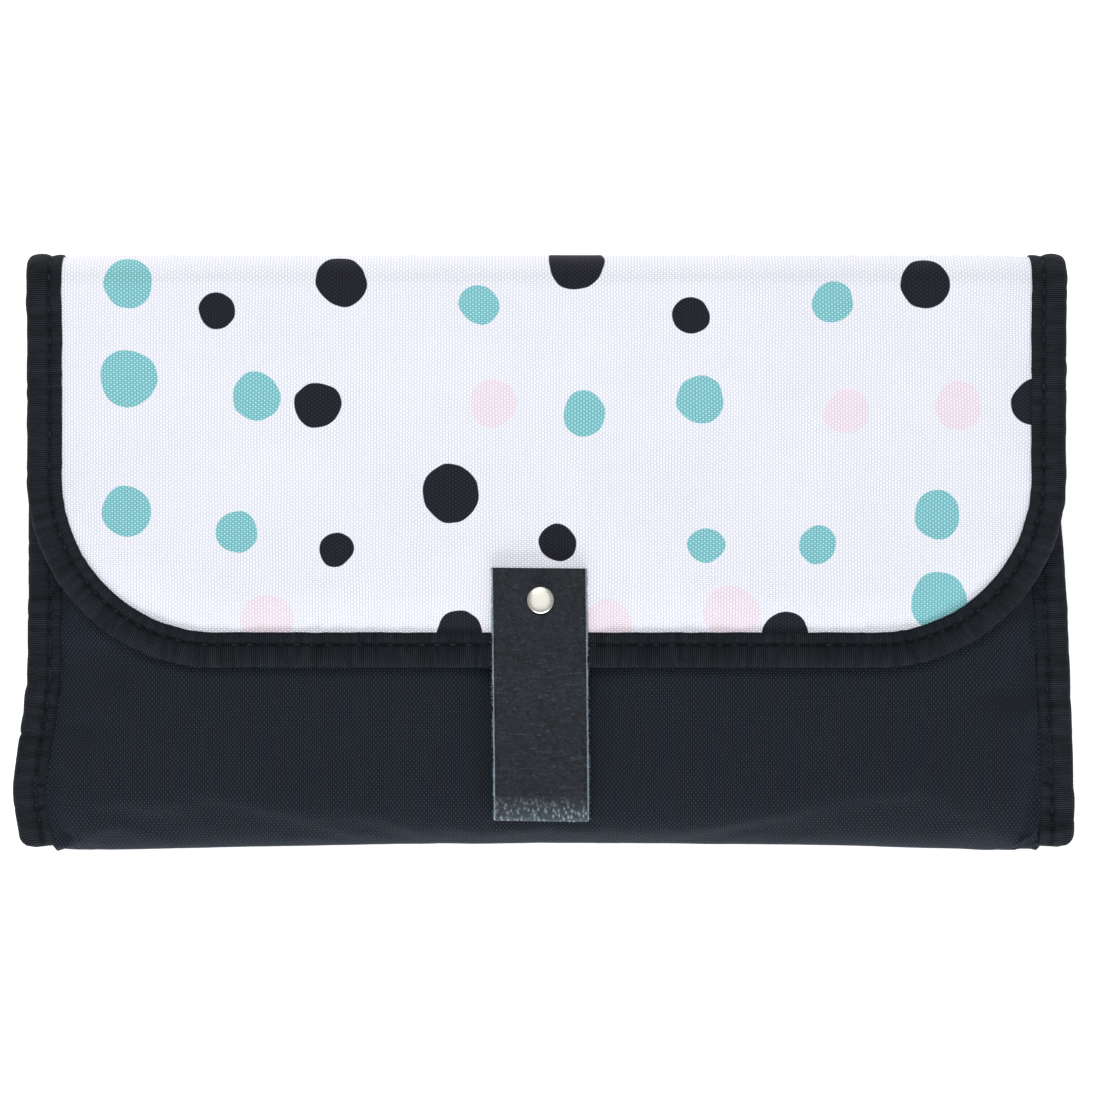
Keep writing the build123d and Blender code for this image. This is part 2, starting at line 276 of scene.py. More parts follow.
class Shader:
    """A small writer for node materials: every call makes one node and gives back its output."""

    def __init__(self, name):
        self.material = bpy.data.materials.new(name)
        self.material.use_nodes = True
        self.tree = self.material.node_tree
        self.tree.nodes.clear()

    def node(self, kind, *inputs, output=0, **settings):
        """A node whose inputs are given in order."""
        return self.named(kind, output, dict(enumerate(inputs)), **settings)

    def named(self, kind, output, inputs, **settings):
        """A node whose inputs are given by name or number. For output None, all its outputs come back."""
        made = self.tree.nodes.new(kind)
        for key, value in settings.items():
            setattr(made, key, value)
        for key, value in inputs.items():
            self.feed(made, key, value)
        return made.outputs if output is None else made.outputs[output]

    def feed(self, made, place, value):
        if value is None:
            return
        if isinstance(value, bpy.types.NodeSocket):
            self.tree.links.new(value, made.inputs[place])
        else:
            made.inputs[place].default_value = value

    def math(self, operation, a, b=None, c=None):
        return self.node("ShaderNodeMath", a, b, c, operation=operation)

    def times(self, a, b):
        return self.math("MULTIPLY", a, b)

    def plus(self, a, b):
        return self.math("ADD", a, b)

    def vector(self, operation, a, b=None):
        return self.node("ShaderNodeVectorMath", a, b, operation=operation)

    def stretch(self, place, scale):
        return self.vector("MULTIPLY", place, scale)

    def cloth_uv(self):
        return self.node("ShaderNodeUVMap", uv_map=UV_NAME)

    def object_mm(self):
        return self.stretch(self.node("ShaderNodeTexCoord", output="Object"), (1 / MM, 1 / MM, 1 / MM))

    def split(self, vector):
        return tuple(self.named("ShaderNodeSeparateXYZ", None, {0: vector}))

    def join(self, x, y, z=0.0):
        return self.node("ShaderNodeCombineXYZ", x, y, z)

    def mix(self, share, a, b, blend="MIX"):
        settings = {"data_type": "RGBA", "blend_type": blend, "clamp_factor": True}
        return self.named("ShaderNodeMix", 2, {0: share, 6: a, 7: b}, **settings)

    def tint(self, color, red, green=None, blue=None):
        """A colour made lighter or darker, by one factor or by one for each channel."""
        factors = self.join(red, red if green is None else green, red if blue is None else blue)
        return self.mix(1.0, color, factors, "MULTIPLY")

    def noise(self, vector, scale, detail=2.0, rough=0.5, output=0):
        inputs = {"Vector": vector, "Scale": scale, "Detail": detail, "Roughness": rough}
        return self.named("ShaderNodeTexNoise", output, inputs)

    def voronoi(self, vector, scale, feature="F1"):
        inputs = {"Vector": vector, "Scale": scale}
        return self.named("ShaderNodeTexVoronoi", "Distance", inputs, feature=feature)

    def range(self, value, low, high, to_low=0.0, to_high=1.0):
        return self.node("ShaderNodeMapRange", value, low, high, to_low, to_high)

    def bump(self, height, distance_mm, strength=1.0):
        inputs = {"Strength": strength, "Distance": distance_mm * MM, "Height": height}
        return self.named("ShaderNodeBump", 0, inputs)

    def surface(self, color, roughness, normal=None, metallic=0.0, sheen=0.0, specular=0.5, sheen_tint=None,
                glow=0.0):
        inputs = {
            "Base Color": color, "Roughness": roughness, "Metallic": metallic, "Normal": normal,
            "Sheen Weight": sheen, "Sheen Tint": sheen_tint, "Sheen Roughness": 0.45,
            "Specular IOR Level": specular, "Emission Color": (1, 1, 1, 1), "Emission Strength": glow,
        }
        skin = self.named("ShaderNodeBsdfPrincipled", 0, inputs)
        self.named("ShaderNodeOutputMaterial", None, {0: skin})
        return self.material


def rgb(red, green, blue):
    """A display colour, 0 to 255, as the linear values a shader takes."""
    def linear(value):
        value /= 255
        return value / 12.92 if value <= 0.04045 else ((value + 0.055) / 1.055) ** 2.4
    return linear(red), linear(green), linear(blue), 1.0


def plain_weave(shader, pitch_x, pitch_y, under=0.45):
    """Plain weave over the cloth's UV: the yarns' height, 0 to 1, and which yarn lies on top, 0 or 1.

    The fuller yarn makes rows of raised ovals, staggered from row to row. The other shows between them, no
    higher than under.
    """
    x, y, _ = shader.split(shader.cloth_uv())
    drift = shader.noise(shader.cloth_uv(), 0.05, 1.0)
    x = shader.plus(shader.math("DIVIDE", x, pitch_x), shader.times(drift, 1.5))
    y = shader.plus(shader.math("DIVIDE", y, pitch_y), shader.times(drift, -1.1))
    cell = shader.plus(shader.math("FLOOR", x), shader.math("FLOOR", y))
    parity = shader.math("MODULO", shader.math("ABSOLUTE", cell), 2.0)
    across = shader.math("SINE", shader.times(shader.math("FRACT", x), math.pi))
    along = shader.math("SINE", shader.times(shader.math("FRACT", y), math.pi))
    raised = shader.math("POWER", shader.times(across, along), 0.6)
    sunk = shader.times(shader.math("MULTIPLY_ADD", across, 0.5, 0.5), under)
    height = shader.node("ShaderNodeMix", parity, None, sunk, raised)
    return height, parity


# Pitch of each cloth's yarns across and along it, and of the tape's ribs and weft.
CANVAS_PITCH = (0.85, 0.59)
BLACK_PITCH = (0.62, 0.77)
LINING_PITCH = (0.34, 0.30)
RIB_PITCH = 0.60
WEFT_PITCH = 0.42


# ---------------------------------------------------------------- print

# A generic print: one spot in each cell of a plain cell texture, at a random place in it.
SPOT_PITCH = 34.0
SPOT_SCATTER = 0.6
SPOT_RADIUS = (5.0, 9.0)
SPOT_WARP = 1.6
SPOT_EDGE = 0.003
INK_SHARE = 0.50
MINT_SHARE = 0.36
PINK = rgb(240, 225, 232)


def spots(shader, place):
    """A plain scatter of spots: where a spot lies, and a random value for each that picks its colour."""
    inputs = {"Vector": place, "Scale": 1 / SPOT_PITCH, "Randomness": SPOT_SCATTER}
    cells = shader.named("ShaderNodeTexVoronoi", None, inputs, voronoi_dimensions="2D")
    pick, size, _ = shader.split(cells["Color"])
    small, large = (radius / SPOT_PITCH for radius in SPOT_RADIUS)
    inside = shader.math("SUBTRACT", shader.range(size, 0.0, 1.0, small, large), cells["Distance"])
    return shader.range(inside, -SPOT_EDGE, SPOT_EDGE), pick


def printed_canvas():
    """White canvas with a generic print of spots, whose places come from the cell texture alone."""
    shader = Shader("printed_canvas")
    uv = shader.cloth_uv()
    off_centre = shader.vector("SUBTRACT", shader.noise(uv, 0.07, output="Color"), (0.5, 0.5, 0.5))
    shift = shader.stretch(off_centre, (2 * SPOT_WARP, 2 * SPOT_WARP, 0.0))
    spot, pick = spots(shader, shader.vector("ADD", uv, shift))
    height, _ = plain_weave(shader, *CANVAS_PITCH)
    cloud = shader.noise(uv, 0.03, 2.0)
    white = shader.mix(cloud, rgb(232, 233, 240), rgb(240, 240, 246))
    raised = shader.range(height, 0.2, 0.95)
    # Dark and mint spots are lighter on raised yarns: painted highlight over the print's colour.
    ink_and_highlight = shader.mix(raised, rgb(4, 5, 12), rgb(33, 35, 50))
    mint_and_highlight = shader.mix(raised, rgb(112, 189, 189), rgb(161, 209, 217))
    print_and_highlight = shader.mix(shader.math("LESS_THAN", pick, INK_SHARE + MINT_SHARE), PINK, mint_and_highlight)
    print_and_highlight = shader.mix(shader.math("LESS_THAN", pick, INK_SHARE), print_and_highlight, ink_and_highlight)
    color = shader.mix(spot, white, print_and_highlight)
    shade = shader.range(height, 0.15, 0.85, 0.62, 1.07)
    color = shader.tint(color, shade, blue=shader.math("POWER", shade, 0.85))
    return shader.surface(color, 0.85, shader.bump(height, 0.2, 0.7), sheen=0.08, specular=0.25)


def woven_black():
    shader = Shader("woven_black")
    height, parity = plain_weave(shader, *BLACK_PITCH)
    cloud = shader.noise(shader.cloth_uv(), 0.04, 3.0)
    yarn = shader.mix(parity, rgb(19, 26, 34), rgb(25, 33, 42))
    yarn = shader.mix(cloud, yarn, rgb(21, 28, 36))
    shade = shader.range(height, 0.2, 0.9, 0.12, 1.9)
    color = shader.tint(yarn, shade)
    normal = shader.bump(height, 0.28, 0.9)
    return shader.surface(color, 0.55, normal, sheen=0.08, specular=0.13, sheen_tint=rgb(150, 175, 210))


def ribbed_tape(groove_up, groove_down):
    """Ribs across the tape, whose UV runs along it first. Both grooves are given as places across it."""
    shader = Shader("ribbed_tape")
    uv = shader.cloth_uv()
    along, across, _ = shader.split(uv)
    wobble = shader.times(shader.noise(uv, 0.35, 2.0), 0.8)
    phase = shader.times(shader.plus(along, wobble), 2 * math.pi / RIB_PITCH)
    rib = shader.math("MULTIPLY_ADD", shader.math("SINE", phase), 0.5, 0.5)
    weft = shader.math("SINE", shader.times(across, 2 * math.pi / WEFT_PITCH))
    height = shader.plus(rib, shader.math("MULTIPLY_ADD", weft, 0.12, 0.12))
    crease = shader.noise(shader.stretch(uv, (1.0, 0.16, 1.0)), 0.45, 2.0, 0.6)
    # Painted shade in the troughs between the ribs and painted highlight on their crests.
    color = shader.mix(rib, rgb(2, 3, 4), rgb(32, 37, 44))
    # Painted light and shade along the creases.
    painted_crease_and_groove_shade = shader.range(crease, 0.32, 0.68, 0.55, 1.35)
    # Painted shade in the stitch grooves: the tape is darker near them.
    near = shader.math("MINIMUM", *(shader.math("ABSOLUTE", shader.math("SUBTRACT", across, place))
                                    for place in (groove_up, groove_down)))
    painted_crease_and_groove_shade = shader.times(painted_crease_and_groove_shade, shader.range(near, 0.10, 0.95, 0.22, 1.0))
    color = shader.tint(color, painted_crease_and_groove_shade)
    normal = shader.bump(shader.plus(height, shader.times(crease, 2.0)), 0.2, 0.9)
    return shader.surface(color, 0.66, normal, sheen=0.02, specular=0.11, sheen_tint=rgb(160, 180, 210))


def pebbled_leather(bend_s):
    """Soft pebbles and cross wrinkles; round the bend at bend_s the grain is stretched open and paler, with a
    painted highlight where the bend catches light.
    """
    shader = Shader("pebbled_leather")
    uv = shader.cloth_uv()
    along, across, _ = shader.split(uv)
    cells = shader.voronoi(uv, 0.62, "SMOOTH_F1")
    small = shader.voronoi(uv, 1.5, "SMOOTH_F1")
    wrinkle = shader.noise(shader.stretch(uv, (1.0, 0.35, 1.0)), 0.5, 4.0, 0.65)
    pebble = shader.plus(shader.range(cells, 0.75, 0.05),
                         shader.times(shader.range(small, 0.7, 0.1), 0.5))
    height = shader.plus(pebble, shader.times(wrinkle, 3.0))
    # Painted highlight on the raised pebbles and painted shade in the hollows between them.
    color = shader.mix(shader.range(pebble, 0.35, 1.15), rgb(14, 18, 24), rgb(28, 34, 42))
    # Painted shade in the wrinkles' creases.
    color = shader.mix(shader.range(wrinkle, 0.40, 0.60), shader.mix(0.30, color, rgb(6, 8, 11)), color)
    # Round the bend: the stretched grain's paler dots together with a painted highlight where the bend
    # catches light.
    away = shader.math("ABSOLUTE", shader.math("SUBTRACT", along, bend_s))
    stretch = shader.range(away, 6.5, 1.5)
    dots = shader.range(shader.voronoi(shader.stretch(uv, (0.75, 1.0, 1.0)), 0.95), 0.52, 0.18)
    open_grain_and_highlight = shader.mix(dots, rgb(46, 54, 60), rgb(122, 132, 138))
    color = shader.mix(stretch, color, open_grain_and_highlight)
    height = shader.plus(height, shader.times(shader.times(dots, stretch), 1.4))
    normal = shader.bump(height, 0.34, 1.0)
    return shader.surface(color, shader.range(wrinkle, 0.3, 0.7, 0.44, 0.56), normal, specular=0.20)


def raw_leather_edge():
    shader = Shader("raw_leather_edge")
    place = shader.object_mm()
    fibre = shader.noise(shader.stretch(place, (1.0, 1.0, 3.0)), 2.2, 4.0, 0.7)
    color = shader.mix(shader.range(fibre, 0.35, 0.65), rgb(60, 72, 84), rgb(150, 166, 178))
    return shader.surface(color, 0.9, shader.bump(fibre, 0.3, 0.8), specular=0.2, sheen=0.3)


def polished_nickel():
    shader = Shader("polished_nickel")
    place = shader.object_mm()
    scuff = shader.noise(shader.stretch(place, (0.4, 3.0, 1.0)), 2.0, 3.0)
    return shader.surface(rgb(208, 206, 197), shader.range(scuff, 0.3, 0.7, 0.24, 0.36),
                          shader.bump(scuff, 0.02, 0.3), metallic=1.0)


def wipe_clean():
    shader = Shader("wipe_clean")
    uv = shader.cloth_uv()
    grain = shader.voronoi(uv, 1.6, "SMOOTH_F1")
    cloud = shader.noise(uv, 0.02, 3.0)
    color = shader.mix(cloud, rgb(196, 200, 204), rgb(207, 210, 213))
    return shader.surface(color, 0.38, shader.bump(grain, 0.08, 0.35), specular=0.5)


def thin_lining():
    shader = Shader("thin_lining")
    height, _ = plain_weave(shader, *LINING_PITCH)
    cloud = shader.noise(shader.cloth_uv(), 0.05, 3.0)
    color = shader.mix(cloud, rgb(42, 46, 52), rgb(52, 57, 64))
    shade = shader.range(height, 0.0, 0.8, 0.86, 1.04)
    color = shader.tint(color, shade)
    return shader.surface(color, 0.5, shader.bump(height, 0.06, 0.5), specular=0.4, sheen=0.15)


def sewing_thread():
    shader = Shader("sewing_thread")
    along, across, _ = shader.split(shader.object_mm())
    twist = shader.math("SINE", shader.times(shader.plus(along, across), 2 * math.pi / 0.5))
    # Painted light and shade along the twist: lighter on the plies' crests, darker between them.
    color = shader.mix(shader.math("MULTIPLY_ADD", twist, 0.5, 0.5), rgb(14, 15, 18), rgb(34, 37, 42))
    return shader.surface(color, 0.6, shader.bump(twist, 0.05, 0.6), specular=0.3)


def plated_magnet():
    shader = Shader("plated_magnet")
    brush = shader.noise(shader.stretch(shader.object_mm(), (0.3, 6.0, 1.0)), 1.5, 3.0)
    color = shader.mix(brush, rgb(150, 150, 152), rgb(176, 176, 176))
    return shader.surface(color, 0.3, shader.bump(brush, 0.02, 0.4), metallic=1.0)


CANVAS = printed_canvas()
BLACK = woven_black()
RAW_EDGE = raw_leather_edge()
NICKEL = polished_nickel()
WIPE = wipe_clean()
LINING = thin_lining()
THREAD = sewing_thread()
MAGNET = plated_magnet()


# ---------------------------------------------------------------- sheets and outlines

class Course:
    """A line in the Y-Z plane, walked by its length. Its normal is to the left of the walk."""

    def __init__(self, points):
        self.points = np.array(points, float)
        self.s = lengths(np.hypot(*np.diff(self.points, axis=0).T))
        tangent = np.gradient(self.points, self.s, axis=0)
        self.tangent = tangent / np.linalg.norm(tangent, axis=1)[:, None]
        self.length = self.s[-1]

    def at(self, s, lift=0.0):
        y, z = (np.interp(s, self.s, self.points[:, i]) for i in (0, 1))
        ty, tz = (np.interp(s, self.s, self.tangent[:, i]) for i in (0, 1))
        return y - tz * lift, z + ty * lift


def bow(centre, a, b, start, end, count=24):
    """Points of an ellipse's stretch, angles in degrees from +Y towards +Z."""
    angle = np.radians(np.linspace(start, end, count))
    return [(centre[0] + a * math.cos(t), centre[1] + b * math.sin(t)) for t in angle]


def line(start, end, step=2.0):
    count = max(2, int(math.dist(start, end) / step))
    return [tuple(np.array(start) + (np.array(end) - start) * t) for t in np.linspace(0, 1, count)]


def join_lines(*parts):
    """One list of points from several, without the repeated ends."""
    points = list(parts[0])
    for part in parts[1:]:
        points += part[1:] if math.dist(points[-1], part[0]) < 1e-6 else part
    return points


def edge_distance(x, s, half, radius):
    """How far inside a sheet with two rounded corners at s = 0 a point lies."""
    beyond_x = np.abs(x) - (half - radius)
    beyond_s = radius - s
    corner = (beyond_x > 0) & (beyond_s > 0)
    straight = np.minimum(half - np.abs(x), s)
    return np.where(corner, radius - np.hypot(beyond_x, beyond_s), straight)


def flat_sheet(z_mid):
    def sheet(x, y, n):
        x, y, n = np.broadcast_arrays(x, y, n)
        return x, y, z_mid + n
    return sheet


class Outline:
    """A path in a sheet's own plane (across, along), sampled evenly, with its outward direction.

    Outwards is to the right of the walk, or to the left with flip.
    """

    def __init__(self, points, flip=False):
        points = np.array(points, float)
        walked = lengths(np.hypot(*np.diff(points, axis=0).T))
        count = int(walked[-1] / RING_SPACING) + 1
        self.length = np.linspace(0, walked[-1], count)
        self.place = np.stack([np.interp(self.length, walked, points[:, i]) for i in (0, 1)], -1)
        forward = np.gradient(self.place, self.length, axis=0)
        forward /= np.linalg.norm(forward, axis=1)[:, None]
        self.out = np.stack([forward[:, 1], -forward[:, 0]], -1) * (-1 if flip else 1)

    def inside(self, d):
        """The places d inside the outline, a row of them for each sampled point."""
        return self.place[:, :1] - d * self.out[:, :1], self.place[:, 1:] - d * self.out[:, 1:]


def three_sides(half, end, top, radius):
    """Down the left side, round two corners and up the right side."""
    left = line((-half, top), (-half, end + radius))
    first = [(-half + radius - radius * math.cos(t), end + radius - radius * math.sin(t))
             for t in np.linspace(0, math.pi / 2, 40)]
    bottom = line((-half + radius, end), (half - radius, end))
    second = [(half - radius + radius * math.sin(t), end + radius - radius * math.cos(t))
              for t in np.linspace(0, math.pi / 2, 40)]
    right = line((half, end + radius), (half, top))
    return join_lines(left, first, bottom, second, right)


# ---------------------------------------------------------------- edge tape and stitches

# Half of the tape's section: distance in from the edge and height, for a tape of TAPE_HEIGHT.
TAPE_SECTION = ((10.5, 1.10), (10.3, 1.30), (9.6, 1.42), (8.6, 1.42), (7.7, 1.30),
                (7.2, 1.16), (6.8, 1.02), (6.4, 1.24), (5.9, 1.50), (5.0, 1.72),
                (3.7, 1.80), (2.4, 1.66), (1.2, 1.34), (0.4, 0.82), (0.0, 0.28))
TAPE_INSIDE = ((1.0, 0.25), (1.7, 0.80), (4.0, 1.00), (7.0, 0.95), (10.4, 0.75))
TAPE_HEIGHT = 1.6
STITCH_IN = 6.8
STITCH_PITCH = 4.6
STITCH_LENGTH = 3.0
GROOVE_N = 1.02
DIMPLE = 0.30
PUFF = 0.09
RING_SPACING = STITCH_PITCH / 6
END_ROUND_R = 4.5


def section_walk():
    """How far round the tape's section its points lie, from the upper inner edge."""
    return lengths(np.hypot(*np.diff(np.array(TAPE_SECTION), axis=0).T))


GROOVE_ACROSS = float(section_walk()[[d for d, _ in TAPE_SECTION].index(STITCH_IN)])
OUTSIDE_ACROSS = 2 * float(section_walk()[-1]) + 2 * TAPE_SECTION[-1][1]
TAPE = ribbed_tape(GROOVE_ACROSS, OUTSIDE_ACROSS - GROOVE_ACROSS)


def edge_tape(name, sheet, outline, height, under=None, pucker=None, end_swell=0.0):
    """Tape folded over a sheet's edge. sheet(x, s, n) places a point. height scales the tape's section."""
    under = height if under is None else under
    top = np.array(TAPE_SECTION)
    inner = np.array(TAPE_INSIDE)
    flip = (1, -1)
    d = np.concatenate([top[:, 0], top[::-1, 0], inner[::-1, 0], inner[:, 0]])
    n = np.concatenate([top[:, 1], -top[::-1, 1], -inner[::-1, 1], inner[:, 1]]) / TAPE_HEIGHT
    length = outline.length[:, None]
    scale = np.where(n[None, :] > 0, np.reshape(height, (-1, 1)), np.reshape(under, (-1, 1)))
    lift = n[None, :] * scale
    depth = np.repeat(d[None, :], len(outline.length), 0)
    outer = np.zeros(len(d), bool)
    outer[:2 * len(top)] = True
    beat = np.cos(math.pi * length / STITCH_PITCH) ** 2
    dimple = DIMPLE * np.exp(-((depth - STITCH_IN) / 0.8) ** 2) * beat ** 2
    puff = PUFF * (1 - 2 * beat) * np.exp(-((depth - STITCH_IN) / 3.0) ** 2)
    lift = lift + np.sign(lift) * (puff - dimple) * outer
    if pucker is not None:
        more_depth, more_lift = pucker(length, depth, np.sign(n)[None, :])
        depth = depth + more_depth
        lift = lift + more_lift
    if end_swell:
        left = outline.length[-1] - length
        lift = lift * (1 + end_swell * np.exp(-((left - 4.0) / 3.0) ** 2)) * smooth((left + 0.6) / 1.8)
        turn = np.clip(1 - left / END_ROUND_R, 0, 1)
        depth = np.maximum(depth, END_ROUND_R * (1 - np.sqrt(1 - turn ** 2)) + 0.25 * depth)
    rings = np.stack(sheet(*outline.inside(depth), lift), -1)
    round_d, round_n = np.append(d, d[0]), np.append(n, n[0]) * TAPE_HEIGHT
    walk = lengths(np.hypot(np.diff(round_d), np.diff(round_n)))
    uv = np.stack(np.broadcast_arrays(outline.length[:, None], walk[None, :]), -1)
    return tube(name, rings, uv, [TAPE])


def stitch_row(name, sheet, outline, height, inward=STITCH_IN, sides=(1, -1), skip=None, radius=0.26):
    """Thread showing between needle holes along a tape, on each side of the sheet."""
    centres = np.arange(STITCH_PITCH, outline.length[-1] - 1, STITCH_PITCH)
    height = np.broadcast_to(height, outline.length.shape)
    steps = np.linspace(-1, 1, 7)
    turn = np.linspace(0, 2 * math.pi, 7)[:-1]
    along = centres[:, None] + steps[None, :] * STITCH_LENGTH / 2
    place = [np.interp(along, outline.length, outline.place[:, i]) for i in (0, 1)]
    out = [np.interp(along, outline.length, outline.out[:, i]) for i in (0, 1)]
    high = np.interp(along, outline.length, height)
    thick = radius * np.sqrt(np.maximum(1 - steps ** 2, 0.04))
    all_points, all_faces, base = [], [], 0
    for side in sides:
        level = side * (high * GROOVE_N / TAPE_HEIGHT - DIMPLE - PUFF + 0.14 - 0.25 * steps[None, :] ** 2)
        ring_d = inward + thick[None, :, None] * np.cos(turn)
        ring_n = level[..., None] + thick[None, :, None] * np.sin(turn)
        x = place[0][..., None] - ring_d * out[0][..., None]
        s = place[1][..., None] - ring_d * out[1][..., None]
        points = np.stack(sheet(x, s, ring_n), -1)
        if skip is not None:
            points = points[~skip(place[0][:, 3], place[1][:, 3], side)]
        count, rings, k = points.shape[:3]
        index = base + np.arange(count * rings * k).reshape(count, rings, k)
        after = np.roll(index, -1, 2)
        quads = np.stack([index[:, :-1], after[:, :-1], after[:, 1:], index[:, 1:]], -1).reshape(-1, 4)
        all_faces += (quads if side > 0 else quads[:, ::-1]).tolist()
        ends = [index[:, 0, ::-1], index[:, -1]] if side > 0 else [index[:, 0], index[:, -1, ::-1]]
        for end in ends:
            all_faces += end.tolist()
        all_points.append(points.reshape(-1, 3))
        base += count * rings * k
    return mesh_object(name, np.concatenate(all_points), all_faces, None, [THREAD])


def side_pucker(seed, strength, calm=0.3):
    """Gathers across a tape, rounded between sharp creases. They step its edge in and out.

    calm is how strong they already are at the tape's start.
    """
    def pucker(length, depth, face):
        slant = length + 0.3 * depth
        gather = np.abs(noise(slant / 4.4, 0.5, seed)) * 2 - 0.55
        fine = np.abs(noise(slant / 2.1, 3.5, seed + 1)) * 2 - 0.55
        grow = calm + (1 - calm) * smooth((length - 60) / 70)
        lift = face * (0.42 * gather + 0.16 * fine) * smooth(depth / 2.0) * grow * strength
        shift = -(0.5 * gather * (1 - depth / 24) + 0.22 * noise(length / 9, 6.5, seed)) * grow * strength
        return shift, lift
    return pucker


# ---------------------------------------------------------------- flap

FOLD_START_Y = 78.0
FOLD_LAP_Y = 66.0
FOLD_OUT_Y = FLAP_HINGE[0] - 1.4
FOLD_Z = FLAP_HINGE[1]
STUB_Z = 12.3
CORNER_R = 56.0
FLAP_SHIFT = 0.5
TAPE_SEAT = 0.75
GROOVE_ROOM = 0.4
BLEND_LOW_Z = 16.0
BLEND_HIGH_Z = 23.0

flap_course = Course(join_lines(
    line((FLAP_END_Y, FLAP_Z), (FOLD_START_Y, FLAP_Z)),
    bow((FOLD_START_Y, FOLD_Z), FOLD_OUT_Y - FOLD_START_Y, FLAP_Z - FOLD_Z, 90, 0),
    bow((FOLD_LAP_Y + 2, FOLD_Z), FOLD_OUT_Y - FOLD_LAP_Y - 2, FOLD_Z - STUB_Z, 0, -90),
    line((FOLD_LAP_Y + 2, STUB_Z), (FOLD_LAP_Y, STUB_Z), 1.0),
))


def near_tab(x, s):
    """1 under the tab's strap, where the flap lies flat, falling to 0 beside it."""
    return (1 - smooth((np.abs(x - TAB_X) - TAB_HALF_WIDTH - 1) / 12)) * (1 - smooth((s - 34) / 12))


def flap_sheet(x, s, n):
    """A point of the flap: across, up from its end and above its middle."""
    x, s, n = np.broadcast_arrays(x, s, n)
    d = edge_distance(x, s, FLAP_HALF_WIDTH, CORNER_R)
    flat = (1 - near_tab(x, s)) * (1 - smooth((s - 90) / 22))
    drop = 0.9 * (1 - smooth(d / 22)) + 0.28 * noise(x / 42, s / 38, 3) * smooth(d / 30)
    y, z = flap_course.at(s, n - drop * flat)
    side = 0.35 * noise(s / 24, 0.5, 5) + 0.12 * noise(s / 7, 2.5, 6)
    return x + FLAP_SHIFT + side * np.sign(x) * smooth((np.abs(x) - 90) / 60), y, z


def flap_rows(inset):
    corner = inset + (CORNER_R - inset) * (1 - np.cos(np.linspace(0, math.pi / 2, 34)))
    straight = np.arange(corner[-1] + 2.0, flap_course.s[-1] - 46, 2.4)
    return np.concatenate([corner, straight, np.arange(straight[-1] + 1.2, flap_course.length, 1.2)])


def flap_grid(inset, n_of_d):
    rows = flap_rows(inset)
    radius = CORNER_R - inset
    fall = np.clip(CORNER_R - rows, 0, radius)
    half = FLAP_HALF_WIDTH - inset - radius + np.sqrt(radius ** 2 - fall ** 2)
    near = np.array([0, 1.5, 4, 7, 8.5, 10, 12, 15, 19, 24, 30])
    span = FLAP_HALF_WIDTH - inset
    share = shares(span, near, 35, 96)
    x = half[:, None] * share[None, :]
    s = np.repeat(rows[:, None], len(share), 1)
    d = edge_distance(x, s, FLAP_HALF_WIDTH, CORNER_R)
    return np.stack(flap_sheet(x, s, n_of_d(x, s, d)), -1), np.stack([x, s], -1)


def flap_top(x, s, d):
    crown = (FLAP_OUT - TAPE_SEAT) * smooth((d - 9.5) / 12)
    ripple = 0.05 * noise(x / 9, s / 9, 8) + 0.07 * noise(x / 5, s / 5, 9) * np.exp(-np.abs(d - 13) / 5)
    seat = TAPE_SEAT - 0.05 - GROOVE_ROOM * (1 - smooth((d - 8.0) / 1.6))
    return seat + crown + ripple * (1 - near_tab(x, s)) * smooth((d - 9.5) / 3)


def make_flap():
    top, uv = flap_grid(2.0, flap_top)
    middle, _ = flap_grid(2.0, lambda x, s, d: 0 * x + 0.05)
    outer = slab("flap_printed_cover", top, middle, uv, [CANVAS, BLACK], side_material=1)
    finish(outer, "printed_fabric", ("flap_outer", "flap_padding"))
    low, _ = flap_grid(2.0, lambda x, s, d: -flap_top(x, s, d) + 0.02)
    inner = slab("flap_back_lining", middle - (0, 0, 0.1), low, uv, [BLACK])
    finish(inner, "woven_black", ("flap_lining",))
    outline = Outline(three_sides(FLAP_HALF_WIDTH, 0.0, flap_course.length - 1, CORNER_R))
    pressed = near_tab(outline.place[:, 0], outline.place[:, 1])
    above = TAPE_HEIGHT - 0.34 * pressed
    below = 1.5 - 0.3 * pressed
    tape = edge_tape("flap_edge_tape", flap_sheet, outline, above, below, side_pucker(71, 0.4, 1.0))
    finish(tape, "edge_tape", ("flap_binding",))

    def hidden(x, s, side):
        return (np.abs(x - TAB_X) < TAB_HALF_WIDTH + 1) & (s < 12)

    thread = stitch_row("flap_tape_stitches", flap_sheet, outline, above, skip=hidden)
    finish(thread, "edge_tape")
    start, end = (at_mm(0, FLAP_HINGE[0], z) for z in (BLEND_LOW_Z, BLEND_HIGH_Z))
    for piece in (outer, inner, tape, thread):
        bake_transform(piece)
        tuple(start)
        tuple(end)


make_flap()


# ---------------------------------------------------------------- pouch

ROLL_DEPTH = 18.0
RIM_H = 1.25
RIM_WIDTH = 10.3
RISE_Y = 58.0
BACK_END_Y = 76.0
OUTER_SHARE_RIM = 0.65
POCKET_HALF = 2.65
SKIN_SPLIT = 3.35
FRONT_FREE_Y = 66.0
LINING_INSET = 5.0
SIDE_TAPE_TOP_Y = 84.2
SIDE_TAPE_HEIGHT = 1.9
FRONT_GROWTH = 0.02
FRONT_CAP = 0.8


def pouch_half(y, side):
    """The pouch's half width: its taped sides bulge out towards the bottom."""
    if side < 0:
        known_y = (-88, -83, -76, -70, -58, -47, -35, 12, 90)
        known = (155.9, 156.7, 158.0, 158.2, 156.6, 155.0, 153.8, 153.4, 152.4)
    else:
        known_y = (-88, -83, -76, -70, -58, -44, -17, 12, 90)
        known = (157.0, 157.3, 157.4, 157.3, 156.9, 156.2, 155.4, 153.2, 152.2)
    return np.interp(y, known_y, known)


